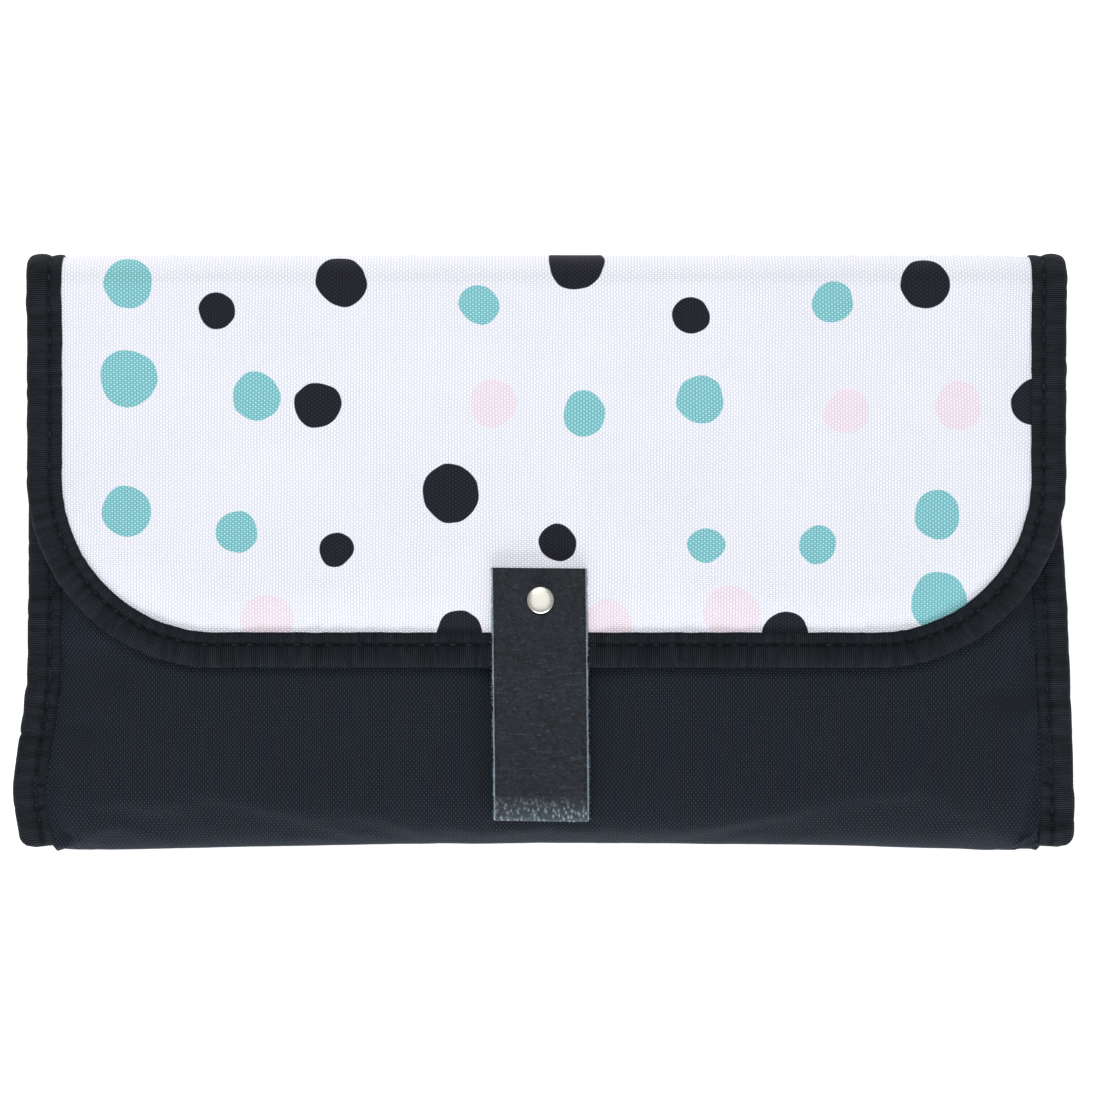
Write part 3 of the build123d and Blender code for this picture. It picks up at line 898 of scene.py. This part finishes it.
def pouch_height(d):
    """How far the pouch's outside stands from its middle, d in from its side."""
    q = np.clip((d - RIM_WIDTH) / 16, 0, 1)
    return RIM_H + (POUCH_OUT - RIM_H) * np.sqrt(1 - (1 - q) ** 2)


def pouch_course():
    """Down the front, round the bottom roll and up the back: Y, share of the height, share of the roll."""
    front = [(y, 1.0, 0.0) for y in np.linspace(MOUTH_Y, BOTTOM_Y + ROLL_DEPTH, 70)]
    roll = [(BOTTOM_Y + ROLL_DEPTH, math.cos(t), math.sin(t)) for t in np.linspace(0, math.pi, 44)[1:-1]]
    back = [(y, -1.0, 0.0) for y in np.linspace(BOTTOM_Y + ROLL_DEPTH, BACK_END_Y, 66)]
    return np.array(front + roll + back)


def pouch_grid(layer, inset=2.0):
    """A layer of the pouch's wall: 0 its outside, 1 and 2 either side of the seam between cover and lining,
    3 facing the pocket.
    """
    course = pouch_course()
    near = np.array([0, 2.5, 5, 7, 8.3, 9.2, 10, 11, 12.5, 14.5, 17, 20, 24, 29])
    span = 153.0
    share = shares(span, near, 34, 90)
    y = np.repeat(course[:, :1], len(share), 1)
    up = np.repeat(course[:, 1:2], len(share), 1)
    sink = np.repeat(course[:, 2:], len(share), 1)
    roll_y = y - ROLL_DEPTH * sink
    tuck = inset + 9.0 * smooth((sink - 0.55) / 0.45)
    half = np.where(share[None, :] < 0, pouch_half(roll_y, -1), pouch_half(roll_y, 1)) - tuck
    x = share[None, :] * half
    d = half + tuck - np.abs(x)
    height = pouch_height(d)
    swell = (height - RIM_H) / (POUCH_OUT - RIM_H)
    depth_of_layer = {
        0: height,
        1: OUTER_SHARE_RIM + swell * (SKIN_SPLIT - OUTER_SHARE_RIM),
        2: OUTER_SHARE_RIM - 0.05 + swell * (SKIN_SPLIT - OUTER_SHARE_RIM),
        3: 0.1 + swell * (POCKET_HALF - 0.1),
    }[layer]
    front = up > 0
    wave = 0.32 * noise(x / 34, roll_y / 30, 11) + 0.12 * noise(x / 11, roll_y / 12, 12)
    crease = np.exp(-np.abs(d - RIM_WIDTH - 3) / 5) * noise(roll_y / 4.4, np.sign(x) * 3 + 7.5, 13) * 0.55
    shown = np.where(front, 1.0, 0.3) * smooth((MOUTH_Y - roll_y) / 10) * smooth((d - RIM_WIDTH + 1) / 3)
    height_now = depth_of_layer + (wave + crease) * shown * (0 if layer == 3 else 1)
    thin = height - depth_of_layer
    reach = np.abs(share[None, :])
    sag = np.where(share[None, :] < 0, 3.2 * reach ** 1.6, 2.9 * reach ** 2)
    sag = sag * (1 - 0.35 * smooth((reach - 0.88) / 0.1))
    bottom_lift = (-0.2 - 0.85 * sag) * sink
    place_y = y - (ROLL_DEPTH - thin) * sink + bottom_lift + 0.25 * noise(x / 16, 0.5, 14) * sink
    rise = 2.6 * smooth((y - RISE_Y) / 10) + 0.6 * smooth((y - RISE_Y - 10) / 8)
    z = POUCH_Z + up * height_now + np.where(front, 0.0, rise)
    walk_y, walk_z = course[:, 0] - ROLL_DEPTH * course[:, 2], course[:, 1]
    walked = lengths(np.hypot(np.diff(walk_y), np.diff(walk_z) * POUCH_OUT))
    uv = np.stack([x, np.repeat(walked[:, None], len(share), 1)], -1)
    return np.stack([x, place_y, z], -1), uv


def puffed_front(grid):
    """The pouch's outside after its front is blown up between the tapes, the mouth and the bottom roll."""
    x, y, z = grid[..., 0], grid[..., 1], grid[..., 2]
    side = np.where(x < 0, pouch_half(y, -1), pouch_half(y, 1)) - np.abs(x)
    held = (side < RIM_WIDTH + 0.4) | (z < POUCH_Z - 3) | (y > FRONT_FREE_Y)
    moved, = blow_up([grid], [held], False, FRONT_GROWTH, FRONT_CAP)
    under_tab = (np.abs(x - TAB_X) < TAB_HALF_WIDTH + 3) & (z > POUCH_Z)
    ceiling = POUCH_Z + POUCH_OUT + 0.1
    moved[..., 2] = np.where(under_tab, np.minimum(moved[..., 2], ceiling), moved[..., 2])
    return moved


def make_pouch():
    top, uv = pouch_grid(0)
    top = puffed_front(top)
    under, _ = pouch_grid(1)
    cover = slab("pouch_cover", top, under, uv, [BLACK])
    finish(cover, "woven_black", ("front_outer", "front_padding", "back_outer", "back_padding"), "pouch")
    lining_out, _ = pouch_grid(2, LINING_INSET)
    lining_in, _ = pouch_grid(3, LINING_INSET)
    lining = slab("pouch_lining", lining_out, lining_in, uv, [LINING])
    finish(lining, "lining", ("front_lining", "back_lining"), "pouch")
    for name, side, strength, over in (("left", -1, 1.0, 1.2), ("right", 1, 0.7, 0.8)):
        ys = np.linspace(SIDE_TAPE_TOP_Y, BOTTOM_Y - over, 90)
        edge = [(side * float(pouch_half(y, side)), float(y)) for y in ys]
        outline = Outline(edge, flip=side > 0)
        tape = edge_tape(f"pouch_tape_{name}", flat_sheet(POUCH_Z), outline, SIDE_TAPE_HEIGHT,
                         pucker=side_pucker(20 + side, strength), end_swell=0.35)
        finish(tape, "edge_tape", (f"pouch_binding_{name}",), "pouch")
        thread = stitch_row(f"pouch_stitches_{name}", flat_sheet(POUCH_Z), outline, SIDE_TAPE_HEIGHT)
        finish(thread, "edge_tape", (), "pouch")


def make_mouth_tape():
    """Tape over the front wall's free edge at the pocket's mouth."""
    half = float(pouch_half(MOUTH_Y, 1)) - 4

    def wall(x):
        d = half + 4 - np.abs(x)
        outside = pouch_height(d)
        swell = (outside - RIM_H) / (POUCH_OUT - RIM_H)
        inside = 0.1 + swell * (POCKET_HALF - 0.1)
        return (outside + inside) / 2, (outside - inside) / 2

    def sheet(x, y, n):
        x, y, n = np.broadcast_arrays(x, y, n)
        middle, _ = wall(x)
        return x, y, POUCH_Z + middle + n

    outline = Outline(line((half, MOUTH_Y + 0.8), (-half, MOUTH_Y + 0.8)))
    _, thick = wall(outline.place[:, 0])
    height = thick + 0.85
    tape = edge_tape("pouch_mouth_tape", sheet, outline, height)
    finish(tape, "edge_tape", ("mouth_binding",), "pouch")


make_pouch()
make_mouth_tape()


# ---------------------------------------------------------------- mat panels

MAT_CORNER_R = 20.0
MAT_RIM_H = 0.9
BASE_END_Y = box_mm("base_binding")[0][1]
BASE_FOLD_Y = MAT_HINGE[0] - 0.8
MIDDLE_LOW_Y = POUCH_HINGE[0] + 4
MIDDLE_HIGH_Y = BASE_FOLD_Y
MAT_SQUASH = 0.2
MAT_TAPE_HEIGHT = 1.7
MAT_TAPE_IN = 10.6
MAT_HELD_IN = 11.2
MAT_SWELL_WIDTH = 13
MAT_ROW = 2.2
SHEET_INSET = 2.0
PANEL_GROWTH = 0.025
PANEL_CAP = 0.9


def panel_height(x, y, low_y, high_y, radius, seed):
    """How far a padded panel's skin stands from its middle."""
    d_side = edge_distance(x, y - low_y, MAT_HALF_WIDTH, radius)
    d_fold = high_y - y
    d = np.minimum(d_side, d_fold + 6)
    q = np.clip((d - MAT_TAPE_IN) / MAT_SWELL_WIDTH, 0, 1)
    wave = 0.12 * noise(x / 30, y / 26, seed) + 0.05 * noise(x / 9, y / 9, seed + 1)
    return MAT_RIM_H + (MAT_OUT - 0.15 - MAT_RIM_H) * np.sqrt(1 - (1 - q) ** 2) + wave * q


def panel_grid(low_y, high_y, radius, seed, face, z_mid, level):
    reach = radius - SHEET_INSET
    corner = low_y + SHEET_INSET + reach * (1 - np.cos(np.linspace(0, math.pi / 2, 14)))
    rows = np.concatenate([corner, np.arange(corner[-1] + MAT_ROW, high_y - MAT_ROW / 2, MAT_ROW), [high_y]])
    fall = np.clip(low_y + radius - rows, 0, reach)
    half = MAT_HALF_WIDTH - SHEET_INSET - reach + np.sqrt(np.maximum(reach ** 2 - fall ** 2, 0))
    near = np.array([0, 3, 6, 8, 9.5, 11, 13, 16, 20, 25])
    share = shares(MAT_HALF_WIDTH, near, 30, 70)
    x = half[:, None] * share[None, :]
    y = np.repeat(rows[:, None], len(share), 1)
    height = panel_height(x, y, low_y, high_y, radius, seed)
    return np.stack([x, y, z_mid + face * height * level], -1), np.stack([x, y], -1)


def puffed_panel(low_y, high_y, radius, z_mid, seed):
    """The heights of a panel's two skins after they are blown up against their neighbours and the table."""
    skins = {face: panel_grid(low_y, high_y, radius, seed, face, z_mid, 0.86)[0] for face in (1, -1)}
    x, y = skins[1][..., 0], skins[1][..., 1]
    taped = edge_distance(x, y - low_y, MAT_HALF_WIDTH, radius) < MAT_HELD_IN
    held = taped | (high_y - y < 4) | (y - low_y < 5)
    top, bottom = blow_up([skins[1], skins[-1]], [held, held], True, PANEL_GROWTH, PANEL_CAP)
    top_z = np.clip(top[..., 2], z_mid, z_mid + MAT_OUT + MAT_SQUASH)
    return {1: top_z, -1: np.clip(bottom[..., 2], z_mid - MAT_OUT, z_mid)}


def make_panel(name, body, low_y, high_y, radius, z_mid, clean_face, cover_nodes, sheet_nodes, seed,
               tucked_rows=0):
    """One padded panel: a wipe-clean sheet on one face and black cloth on the other."""
    puffed = puffed_panel(low_y, high_y, radius, z_mid, seed)
    sides = (("wipe_sheet", clean_face, WIPE, sheet_nodes, "wipe_clean"),
             ("cover", -clean_face, BLACK, cover_nodes, "woven_black"))
    for part, face, skin, nodes, slot_name in sides:
        far, uv = panel_grid(low_y, high_y, radius, seed, face, z_mid, 1.0)
        far[..., 2] = puffed[face]
        near, _ = panel_grid(low_y, high_y, radius, seed, face, z_mid, 0.04)
        tuck = tucked_rows if face == clean_face else 0
        piece = slab(f"{name}_{part}", far[tuck:], near[tuck:], uv[tuck:], [skin])
        finish(piece, slot_name, nodes, body)


def tape_mat(names, body, node, points, z_mid, seed, strength, flip=False):
    """Tape and its stitches along a mat panel's edge. names holds a gap for the kind of piece."""
    edge = Outline(points, flip)
    sheet = flat_sheet(z_mid)
    tape = edge_tape(names.format("tape"), sheet, edge, MAT_TAPE_HEIGHT, pucker=side_pucker(seed, strength))
    finish(tape, "edge_tape", (node,), body)
    thread = stitch_row(names.format("stitches"), sheet, edge, MAT_TAPE_HEIGHT)
    finish(thread, "edge_tape", (), body)


def make_mats():
    make_panel("base_mat", "mat_base", BASE_END_Y, BASE_FOLD_Y, MAT_CORNER_R, BASE_Z, 1,
               ("base_cover", "base_foam"), ("base_wipe_sheet",), 31)
    make_panel("middle_mat", "mat_middle", MIDDLE_LOW_Y - 2.4, MIDDLE_HIGH_Y, 4.0, MIDDLE_Z, -1,
               ("middle_cover", "middle_foam"), ("middle_wipe_sheet",), 35, tucked_rows=8)
    around = three_sides(MAT_HALF_WIDTH, BASE_END_Y, BASE_FOLD_Y - 2, MAT_CORNER_R)
    tape_mat("base_mat_{}", "mat_base", "base_binding", around, BASE_Z, 41, 0.25)
    for name, side in (("left", -1), ("right", 1)):
        down = line((side * MAT_HALF_WIDTH, MIDDLE_HIGH_Y - 2), (side * MAT_HALF_WIDTH, MIDDLE_LOW_Y))
        tape_mat("middle_mat_{}_" + name, "mat_middle", f"middle_binding_{name}", down, MIDDLE_Z,
                 45 + side, 0.3, side > 0)


WEB_LAP = 4.5
WEB_HALF_THICKNESS = 0.45


def fold_web(name, centre, low_z, high_z, side, half, inner_skin, from_top=False):
    """The strip of cloth between two panels where the mat folds. from_top only orders two end heights that
    are not used.
    """
    lead = centre[0] - side * WEB_LAP
    radius = (high_z - low_z) / 2
    course = Course(join_lines(
        line((lead, low_z), (centre[0], low_z), 0.7),
        bow((centre[0], centre[1]), side * radius, radius, -90, 90, 20),
        line((centre[0], high_z), (lead, high_z), 0.7),
    ))
    s = np.linspace(0, course.length, 42)
    x = np.linspace(-half, half, 120)
    grid_x, grid_s = np.meshgrid(x, s)
    crumple = 0.22 * noise(grid_x / 12, grid_s / 6, 51) + 0.1 * noise(grid_x / 4, grid_s / 4, 52)
    crumple = crumple * np.sin(math.pi * grid_s / course.length)
    top, bottom = (np.stack([grid_x, *course.at(grid_s, lift * -side + crumple * -side)], -1)
                   for lift in (WEB_HALF_THICKNESS, -WEB_HALF_THICKNESS))
    piece = slab(name, top, bottom, np.stack([grid_x, grid_s], -1), [BLACK, inner_skin], bottom_material=1)
    finish(piece, "woven_black")
    start_z, end_z = (high_z, low_z) if from_top else (low_z, high_z)
    at_mm(0, centre[0], start_z)
    at_mm(0, centre[0], end_z)
    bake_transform(piece)


make_mats()
fold_web("upper_fold_cloth", (MAT_HINGE[0] - 0.9, MAT_HINGE[1]), BASE_Z, MIDDLE_Z, 1, MAT_HALF_WIDTH - 2,
         WIPE, from_top=True)
fold_web("lower_fold_cloth", (POUCH_HINGE[0] + 3.95, POUCH_HINGE[1]), MIDDLE_Z,
         POUCH_HINGE[1] * 2 - MIDDLE_Z, -1, MAT_HALF_WIDTH - 4, BLACK)


# ---------------------------------------------------------------- tab

TAB_TILT = math.radians(0.55)
TAB_TOP_Z = tab_high[2] - LEATHER_T / 2
TAB_LOW_Z = middle_z("tab_back_end")
TIP_R = 2.0
TAB_SHIFT_X = 0.4

TAB_FREE_Y = -34.0
TAB_STEP_Y = -46.7
TAB_STEP = 1.3
TAB_DROOP = 0.9
TAB_CURL_Y = -77.1
TAB_CURL_Z = 25.1
TAB_BACK_Y = -40.0
TAB_BACK_Z = 23.8

# Down the front on the flap, off its edge, along the pouch, round the tip and back up behind the flap.
tab_course = Course(join_lines(
    line((TAB_TOP_Y, TAB_TOP_Z), (TAB_FREE_Y, TAB_TOP_Z)),
    [(TAB_FREE_Y + (TAB_STEP_Y - TAB_FREE_Y) * t, TAB_TOP_Z - TAB_STEP * float(smooth(t)))
     for t in np.linspace(0, 1, 10)],
    [(TAB_STEP_Y + (TAB_CURL_Y - TAB_STEP_Y) * t, TAB_TOP_Z - TAB_STEP - TAB_DROOP * t ** 2)
     for t in np.linspace(0, 1, 16)],
    [(TAB_TIP_Y + TIP_R + 0.6 - TIP_R * math.sin(t), TAB_CURL_Z + 1.5 * math.cos(t))
     for t in np.linspace(0.12, math.pi, 20)],
    [(TAB_CURL_Y + (TAB_BACK_Y - TAB_CURL_Y) * t, TAB_BACK_Z - 0.2 + 0.2 * float(smooth(t)))
     for t in np.linspace(0.04, 1, 18)],
    [(TAB_BACK_Y + (TAB_FREE_Y - TAB_BACK_Y) * t, TAB_BACK_Z + (TAB_LOW_Z - TAB_BACK_Z) * float(smooth(t)))
     for t in np.linspace(0, 1, 8)],
    line((TAB_FREE_Y, TAB_LOW_Z), (TAB_TOP_Y, TAB_LOW_Z)),
))

TAB_BEND_S = float(tab_course.s[np.argmin(tab_course.points[:, 0])])
TAB_BEVEL = 0.42
TAB_FACE_STEPS = 28
LEATHER = pebbled_leather(TAB_BEND_S - 1.5)


def tab_point(s, x, lift):
    """A point of the strap: s along it, x across, lift above its middle. The strap lies slightly askew."""
    y, z = tab_course.at(s, -lift)
    turned_x = x * math.cos(TAB_TILT) - (y - TAB_TOP_Y) * math.sin(TAB_TILT)
    turned_y = y - x * math.sin(TAB_TILT)
    return np.stack(np.broadcast_arrays(turned_x + TAB_X - TAB_SHIFT_X, turned_y, z), -1)


def make_tab():
    """The folded strap, with cut edges that slope outwards and show their fibres."""
    s = np.linspace(0, tab_course.length, 260)[:, None]
    ragged = {side: 0.16 * noise(s / 3.0, side * 2 + 8.5, 61) + 0.14 * noise(s / 0.9, side * 2 + 4.5, 62)
              for side in (-1, 1)}
    face = np.linspace(-1, 1, TAB_FACE_STEPS)[None, :]
    top_half = TAB_HALF_WIDTH - TAB_BEVEL + 0.06 * noise(s / 5, 0.5, 65)
    low_half = TAB_HALF_WIDTH - 0.1
    free = smooth((s - 31) / 8) * (1 - smooth((s - tab_course.length + 40) / 8))
    flat = LEATHER_T / 2
    x = top_half * face
    wrinkle = (0.10 * noise(x / 10, s / 3.2, 63) + 0.05 * noise(x / 2.2, s / 1.6, 64)) * free
    round_off = 0.12 * smooth((np.abs(face) - 0.93) / 0.07)
    top = tab_point(s, x, flat - round_off + wrinkle)
    low = tab_point(s, (low_half * face)[:, ::-1] * np.ones_like(s), -flat + 0 * s)
    edges = {side: [tab_point(s, side * (TAB_HALF_WIDTH + ragged[side] - back), lift + 0 * s)
                    for back, lift in ((0.12, 0.18), (0.0, -0.2))] for side in (1, -1)}
    rings = np.concatenate([top, *edges[1], low, *edges[-1][::-1]], 1)
    k = rings.shape[1]
    across = lengths(np.linalg.norm(np.diff(rings[0], axis=0), axis=1))
    across = np.append(across, across[-1] + 1) - TAB_HALF_WIDTH
    uv = np.stack(np.broadcast_arrays(s, across[None, :]), -1)
    strap = tube("tab_leather_strap", rings, uv, [LEATHER, RAW_EDGE])
    side_strip = np.zeros(k, int)
    side_strip[TAB_FACE_STEPS - 1:TAB_FACE_STEPS + 2] = 1
    side_strip[-3:] = 1
    slots = np.concatenate([np.tile(side_strip, len(s) - 1), [1, 1]])
    strap.data.polygons.foreach_set("material_index", slots.astype(np.int32))
    finish(strap, "tab_leather", ("tab_loop", "tab_front_end", "tab_back_end"))
    fibres = finish(make_fibres(), "tab_leather")
    for piece in (strap, fibres):
        at_mm(TAB_X, TAB_HINGE[0] - 1.3, TAB_HINGE[1])
        at_mm(TAB_X, TAB_HINGE[0] - 11, TAB_HINGE[1])
        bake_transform(piece)


FIBRE_COUNT = 520
FIBRE_SEED = 77


def make_fibres():
    """Short fibres standing out of the strap's cut edges."""
    draw = np.random.default_rng(FIBRE_SEED)
    points, faces = [], []
    for _ in range(FIBRE_COUNT):
        side = draw.choice((-1, 1))
        s = draw.uniform(0.5, tab_course.length - 0.5)
        length = draw.uniform(0.15, 0.75) ** 1.3
        lean = draw.uniform(-0.6, 0.6)
        level = draw.uniform(-0.4, 0.3)
        thick = draw.uniform(0.04, 0.085)
        tip_lift = draw.uniform(-0.1, 0.2)
        base = len(points)
        stations = ((0, -0.25, 0, 1.0), (lean * 0.5, length * 0.5, 0.1, 0.8),
                    (lean * 1.2, length, tip_lift, 0.35))
        for along, out, lift, scale in stations:
            place = tab_point(np.array(s + along), side * (TAB_HALF_WIDTH + out), np.array(level + lift))
            for turn in (0, 2.094, 4.189):
                points.append(place + scale * thick * np.array((0, math.cos(turn), math.sin(turn))))
        for ring in (base, base + 3):
            for corner in range(3):
                after = (corner + 1) % 3
                strip = (ring + corner, ring + after, ring + 3 + after, ring + 3 + corner)
                faces.append(strip if side > 0 else strip[::-1])
        caps = (base + 2, base + 1, base), (base + 6, base + 7, base + 8)
        faces += [cap if side > 0 else cap[::-1] for cap in caps]
    return mesh_object("tab_edge_fibres", points, faces, None, [RAW_EDGE])


def lathe(name, profile, centre, material, segments=72):
    """A turned part about a vertical line through centre. The profile starts and ends on the axis."""
    points, faces = [], []
    for radius, z in profile[1:-1]:
        for k in range(segments):
            turn = 2 * math.pi * k / segments
            points.append((centre[0] + radius * math.cos(turn), centre[1] + radius * math.sin(turn), z))
    rings = len(profile) - 2
    for ring in range(0, (rings - 1) * segments, segments):
        for k in range(segments):
            after = (k + 1) % segments
            faces.append((ring + k, ring + segments + k, ring + segments + after, ring + after))
    points += [(centre[0], centre[1], profile[0][1]), (centre[0], centre[1], profile[-1][1])]
    for k in range(segments):
        after = (k + 1) % segments
        faces.append((len(points) - 2, k, after))
        faces.append((len(points) - 1, (rings - 1) * segments + after, (rings - 1) * segments + k))
    return mesh_object(name, points, faces, None, [material])


def make_rivet():
    low, high = box_mm("rivet_cap")
    centre = (low[:2] + high[:2]) / 2
    radius = (high[0] - low[0]) / 2
    foot = tab_high[2] - 0.3
    rise = high[2] - foot
    shoulder = 0.5
    profile = [(0, high[2])]
    profile += [(radius * math.sin(t), high[2] - shoulder * rise * (1 - math.cos(t)) ** 1.25)
                for t in np.linspace(0.08, math.pi / 2 - 0.12, 20)]
    profile += [(radius, foot + rise * 0.36), (radius, foot + rise * 0.16), (radius * 0.96, foot)]
    profile += [(0, foot)]
    finish(lathe("rivet_dome", profile, centre, NICKEL), "nickel", ("rivet_cap",), "flap")


make_tab()
make_rivet()


# ---------------------------------------------------------------- carried-over parts

carried = {"rivet_base": NICKEL, "tab_magnet": MAGNET, "pouch_magnet": MAGNET, "magnet_patch": BLACK}
for node, skin in carried.items():
    kept = bpy.data.objects[node]
    kept.data.materials.clear()
    kept.data.materials.append(skin)


# ---------------------------------------------------------------- floor, light and camera

def floor_material():
    shader = Shader("studio_floor")
    grain = shader.noise(shader.object_mm(), 0.02, 2.0)
    color = shader.mix(grain, rgb(248, 248, 248), rgb(252, 252, 252))
    return shader.surface(color, 0.9, specular=0.1, glow=0.4)


def add_light(name, place, aim, size, power, color=(1, 1, 1)):
    data = bpy.data.lights.new(name, "AREA")
    data.shape = "RECTANGLE"
    data.size, data.size_y = size
    data.energy = power
    data.color = color
    light = bpy.data.objects.new(name, data)
    light.location = place
    toward = mathutils.Vector(aim) - mathutils.Vector(place)
    light.rotation_euler = toward.to_track_quat("-Z", "Y").to_euler()
    bpy.context.scene.collection.objects.link(light)


def make_stage():
    half = 6.0
    mesh = bpy.data.meshes.new("floor")
    corners = [(-half, -half, 0), (half, -half, 0), (half, half, 0), (-half, half, 0)]
    mesh.from_pydata(corners, [], [(0, 1, 2, 3)])
    mesh.materials.append(floor_material())
    floor = bpy.data.objects.new("floor", mesh)
    floor.location.z = -0.0003
    bpy.context.scene.collection.objects.link(floor)
    world = bpy.data.worlds.new("soft_sky")
    world.use_nodes = True
    sky = world.node_tree.nodes["Background"]
    seen = world.node_tree.nodes.new("ShaderNodeLightPath")
    level = world.node_tree.nodes.new("ShaderNodeMapRange")
    level.inputs["To Min"].default_value = 0.51
    level.inputs["To Max"].default_value = 1.0
    world.node_tree.links.new(seen.outputs["Is Camera Ray"], level.inputs["Value"])
    world.node_tree.links.new(level.outputs[0], sky.inputs["Strength"])
    sky.inputs["Color"].default_value = (1, 1, 1, 1)
    bpy.context.scene.world = world
    add_light("key", (-0.2, 0.9, 1.1), (0, 0, 0), (0.7, 0.5), 12.0)
    add_light("overhead", (0.0, 0.0, 1.5), (0, 0, 0), (1.2, 1.2), 4.3)
    add_light("front_strip", (0.1, -1.2, 0.28), (0, -0.08, 0.01), (1.6, 0.3), 22.0, (0.86, 0.93, 1.0))


FRAME_WIDTH = 323.4
CAMERA_X = 1.5
CAMERA_Y = 0.3


def make_camera():
    data = bpy.data.cameras.new("camera")
    data.lens = 100
    data.sensor_width = 36
    camera = bpy.data.objects.new("camera", data)
    reach = FRAME_WIDTH * data.lens / data.sensor_width
    camera.location = at_mm(CAMERA_X, CAMERA_Y, FLAP_Z + reach)
    bpy.context.scene.collection.objects.link(camera)
    bpy.context.scene.camera = camera


make_stage()
make_camera()
bpy.context.scene.view_settings.view_transform = "Standard"
